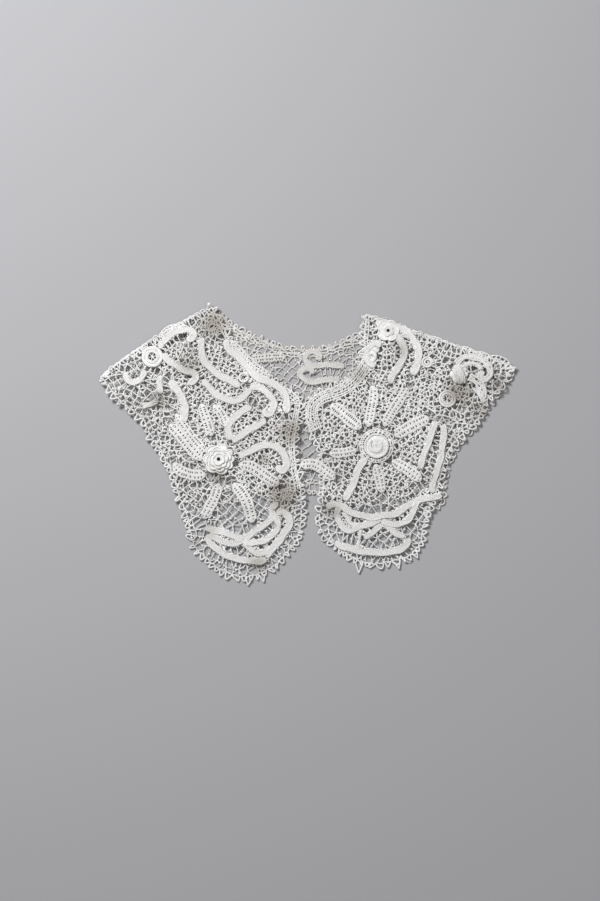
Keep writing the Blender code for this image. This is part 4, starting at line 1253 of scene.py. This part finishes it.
def edge_rounds(worked, side, line, outward, rng, rows=1):
    """An edge's picots, with rounds of chain behind them that wave in and out a little."""
    picots(worked, side, line, outward, rng)
    along = STITCH * np.arange(len(line))
    wave = 0.45 * np.sin(2 * math.pi * along / 7.1) + 0.3 * np.sin(2 * math.pi * along / 4.3)
    offsets = 0.5 + EDGE_ROWS * np.arange(rows)
    ladder(worked, side, line + outward * wave[:, None], outward, offsets, EDGE_PITCH, rng)


def fold_arch(worked, arch, rng):
    """An arch of the ground that stands out past a shoulder fold, on short bars."""
    start, stop = np.array([(arch.x, arch.y), (arch.to_x, arch.to_y)])
    up = left_of(stop - start) / np.hypot(*(stop - start))
    foot = start + np.outer(np.linspace(0, 1, ARCH_POINTS), stop - start)
    crown = foot + up * (arch.reach * rise(ARCH_POINTS))[:, None] ** 0.8
    over = raised(crown - up * arch.reach * 0.4, arch.side)
    over[:, :2] = crown
    over[:, 2] *= 0.75
    worked.tubes(over[None], BAR_RADIUS * np.where(np.arange(ARCH_POINTS) % 2, 1.3, 1.05))
    low = raised(foot - up * 1.5, arch.side, 0.1)
    step = np.arange(2, ARCH_POINTS - 2, 3)
    turn = step + rng.integers(-1, 2, len(step))
    worked.tubes(between(low[turn], over[step], 3), BAR_RADIUS * 0.95)
    worked.knots(over[step], rng.uniform(0.7, 1.0, len(step)))


def fold_rolls(worked, side, grid, rng):
    """Where a front turns over at the shoulder, its threads go round the fold to the back,
    and small loops and arches of the ground stand out past it."""
    line = resampled(grid[0], ROLL_PITCH)
    inward = -outward_of(line, border(grid))
    near = front_height(line + inward * ROLL_IN[0], side)
    heights = np.stack([near, near * 0.93, near * 0.55 + 0.4, np.full(len(line), 0.75),
                        np.full(len(line), 0.7)], axis=1)
    away = np.array(ROLL_IN) + rng.normal(0, 0.35, heights.shape)
    lean = rng.normal(0, 0.9, (len(line), 1)) * np.linspace(-1, 1, len(ROLL_IN))
    plan = (line[:, None] + inward[:, None] * away[..., None]
            - left_of(inward)[:, None] * lean[..., None])
    lines = np.concatenate([plan, heights[..., None]], axis=2)
    worked.tubes(lines, BAR_RADIUS * rng.uniform(0.9, 1.15, (len(line), 1)))
    turned = raised(line + inward * 0.3, side)
    turned[:, 2] = near * 0.55 + 0.35
    chain(worked, turned, BAR_RADIUS)
    for arch in ARCHES:
        if arch.side == side:
            fold_arch(worked, arch, rng)
    firsts = np.arange(0, len(line) - 2, 2)
    bulge = rng.uniform(0.5, 1.7, len(firsts))[:, None] * rise(LOOP_POINTS)
    plan = between(line[firsts], line[firsts + 2], LOOP_POINTS)
    plan = plan - inward[firsts][:, None] * bulge[..., None]
    height = near[firsts] * rng.uniform(0.35, 0.8, len(firsts)) + 0.2
    height = height[:, None, None] * np.ones((1, LOOP_POINTS, 1))
    worked.tubes(np.concatenate([plan, height], axis=2),
                 BAR_RADIUS * rng.uniform(0.9, 1.3, (len(firsts), 1)))


def loose_threads(worked):
    """The two thin ends that have worked loose."""
    for radius, points in LOOSE_THREADS:
        line = [smooth_row(points, place) for place in np.linspace(0, 1, 16)]
        worked.tubes(np.array(line)[None], radius)


def finished(worked, name, nodes, cottons):
    """Makes a piece in its cotton, which stands for those nodes of the frame."""
    # The back takes the darker cotton, painted shade on the layer under the fronts, and the motifs
    # take the paler one, painted light on the raised work
    if name.endswith("_back"):
        kind = "under"
    else:
        kind = "ground" if name.startswith(("net", "picots")) else "motif"
    obj = worked.piece(name, cottons[kind])
    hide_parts(*nodes)
    return obj


def front(side, grid, motifs, rng, cottons):
    """A front's ground and picots. Gives the ground's piece and the border of the panel."""
    loop = border(grid)
    line = resampled(outline_of(grid), STITCH)
    outward = outward_of(line, loop)
    fold = resampled(grid[0, 2:-2], STITCH)
    edges = [line - outward * 0.2, fold - outward_of(fold, loop) * 1.5]
    worked = Worked()
    covered = coverings(*motifs)
    for dense in DENSE_EDGE[side]:
        band = resampled(grid[dense.start:dense.stop, 0], STITCH)
        out = outward_of(band, loop)
        offsets = 0.2 + dense.pitch * np.arange(dense.rows)
        ladder(worked, side, band, out, offsets, DENSE_PITCH, rng, 0.25)
        half = (dense.rows - 1) * dense.pitch / 2
        covered.append((band - out * (0.2 + half), half))
    net(worked, side, loop, edges, covered, rng)
    fold_rolls(worked, side, grid, rng)
    panel = finished(worked, f"net_{side}", [f"front_{side}"], cottons)
    rounds = Worked()
    edge_rounds(rounds, side, line, outward, rng)
    if side == "right":
        loose_threads(rounds)
    finished(rounds, f"picots_{side}", [f"edging_front_{side}"], cottons)
    return panel, loop


def back(rng, cottons):
    """The back's ground, and the rounds and picots of its neck and its hem. Gives what
    front gives."""
    grid = panel_grid(BACK_ROWS, False)
    edges = [(resampled(line, STITCH), rows)
             for line, rows in ((grid[:, 0], BACK_NECK_ROUNDS), (grid[:, -1], 1))]
    inner = [line - outward_of(line, BACK_BORDER) * (0.2 + EDGE_ROWS * (rows - 1))
             for line, rows in edges]
    worked = Worked()
    net(worked, "back", BACK_BORDER, inner, coverings(BACK_BANDS, BACK_OPENWORK, ()), rng)
    panel = finished(worked, "net_back", ["back"], cottons)
    rounds = Worked()
    for line, rows in edges:
        edge_rounds(rounds, "back", line, outward_of(line, BACK_BORDER), rng, rows)
    finished(rounds, "picots_back", ["edging_back_neck", "edging_back_hem"], cottons)
    return panel, BACK_BORDER


def cords(side, bands, nodes, rng, cottons):
    """A panel's padded cords, each a little over or under its neighbours."""
    worked = Worked()
    for number, band in enumerate(bands):
        path, lift = curve(band.points), MOTIF_REST + CORD_STEP * (number % 3)
        half_width = CORD_SHARE * band.width / 2
        if band in OPEN_CORDS:
            strands(worked, path, side, half_width * OPEN_CORD_SHARE, lift, rng)
            continue
        height = CORD_HEIGHT * min(1.0, 0.35 + band.width / 9)
        half_round(worked, path, side, half_width, height, lift=lift)
        edge_stitches(worked, path[1:-1], side, half_width, lift + 0.1, rng)
    finished(worked, f"cords_{side}", nodes, cottons)


def leaves(side, bands, nodes, rng, cottons):
    """A panel's openwork leaves."""
    worked = Worked()
    for band in bands:
        if band == SOLID_LEAF:
            half_width = band.width * SOLID_LEAF_SHARE
            strands(worked, curve(band.points), side, half_width, MOTIF_REST, rng)
        else:
            openwork(worked, band, side, rng)
    finished(worked, f"leaves_{side}", nodes, cottons)


def build():
    """The whole collar."""
    rng = np.random.default_rng(SEED)
    cottons = {kind: cotton(f"cotton_{kind}", *shades) for kind, shades in COTTONS.items()}
    panels = {
        "left": front("left", LEFT_GRID, (LEFT_BANDS, LEFT_OPENWORK, LEFT_DISCS), rng, cottons),
        "right": front("right", RIGHT_GRID, (RIGHT_BANDS, RIGHT_OPENWORK, RIGHT_DISCS), rng,
                       cottons),
        "back": back(rng, cottons),
    }
    for side, bands, name, count in (("left", LEFT_BANDS, "cord_left_{:02d}", 15),
                                     ("right", RIGHT_BANDS, "cord_right_{:02d}", 10),
                                     ("back", BACK_BANDS, "scroll_back_{}", 2)):
        cords(side, bands, [name.format(k) for k in range(1, count + 1)], rng, cottons)
    for side, bands, nodes in (("left", LEFT_OPENWORK, [f"leaf_left_{k}" for k in range(1, 7)]),
                               ("right", RIGHT_OPENWORK, [f"leaf_right_{k}" for k in range(1, 10)]),
                               ("back", BACK_OPENWORK, ["leaf_back"])):
        leaves(side, bands, nodes, rng, cottons)
    for side, discs in (("left", LEFT_DISCS), ("right", RIGHT_DISCS)):
        for disc in discs:
            worked = Worked()
            MAKERS[disc.kind](worked, disc, side)
            finished(worked, f"worked_{disc.name}", [disc.name], cottons)


def studio():
    """A plain pale floor, a soft light from the upper left and a weak fill, and the camera
    straight above."""
    bpy.ops.mesh.primitive_plane_add(size=FLOOR_SIZE, location=(0.0, 0.0, -FLOOR_BELOW))
    floor = bpy.context.object
    floor.name = "floor"
    pale = bpy.data.materials.new("floor_pale")
    pale.use_nodes = True
    shader = pale.node_tree.nodes["Principled BSDF"]
    shader.inputs["Base Color"].default_value = FLOOR_COLOUR
    shader.inputs["Roughness"].default_value = 0.9
    floor.data.materials.append(pale)
    for name, place, size, power in LIGHTS:
        light = bpy.data.lights.new(name, "AREA")
        light.size = size
        light.energy = power
        lamp = bpy.data.objects.new(name, light)
        lamp.location = place
        lamp.rotation_euler = (-Vector(place)).to_track_quat("-Z", "Y").to_euler()
        bpy.context.scene.collection.objects.link(lamp)
    world = bpy.data.worlds.new("soft_room")
    world.use_nodes = True
    room = world.node_tree.nodes["Background"]
    room.inputs["Color"].default_value = (1.0, 1.0, 1.0, 1.0)
    room.inputs["Strength"].default_value = ROOM_LIGHT
    bpy.context.scene.world = world
    bpy.context.scene.view_settings.view_transform = "Standard"

    camera = bpy.data.objects.new("camera", bpy.data.cameras.new("camera"))
    camera.data.lens = LENS
    camera.data.sensor_width = 36.0
    camera.location = CAMERA_PLACE
    camera.rotation_euler = (0.0, 0.0, 0.0)
    bpy.context.scene.collection.objects.link(camera)
    bpy.context.scene.camera = camera


build()
studio()
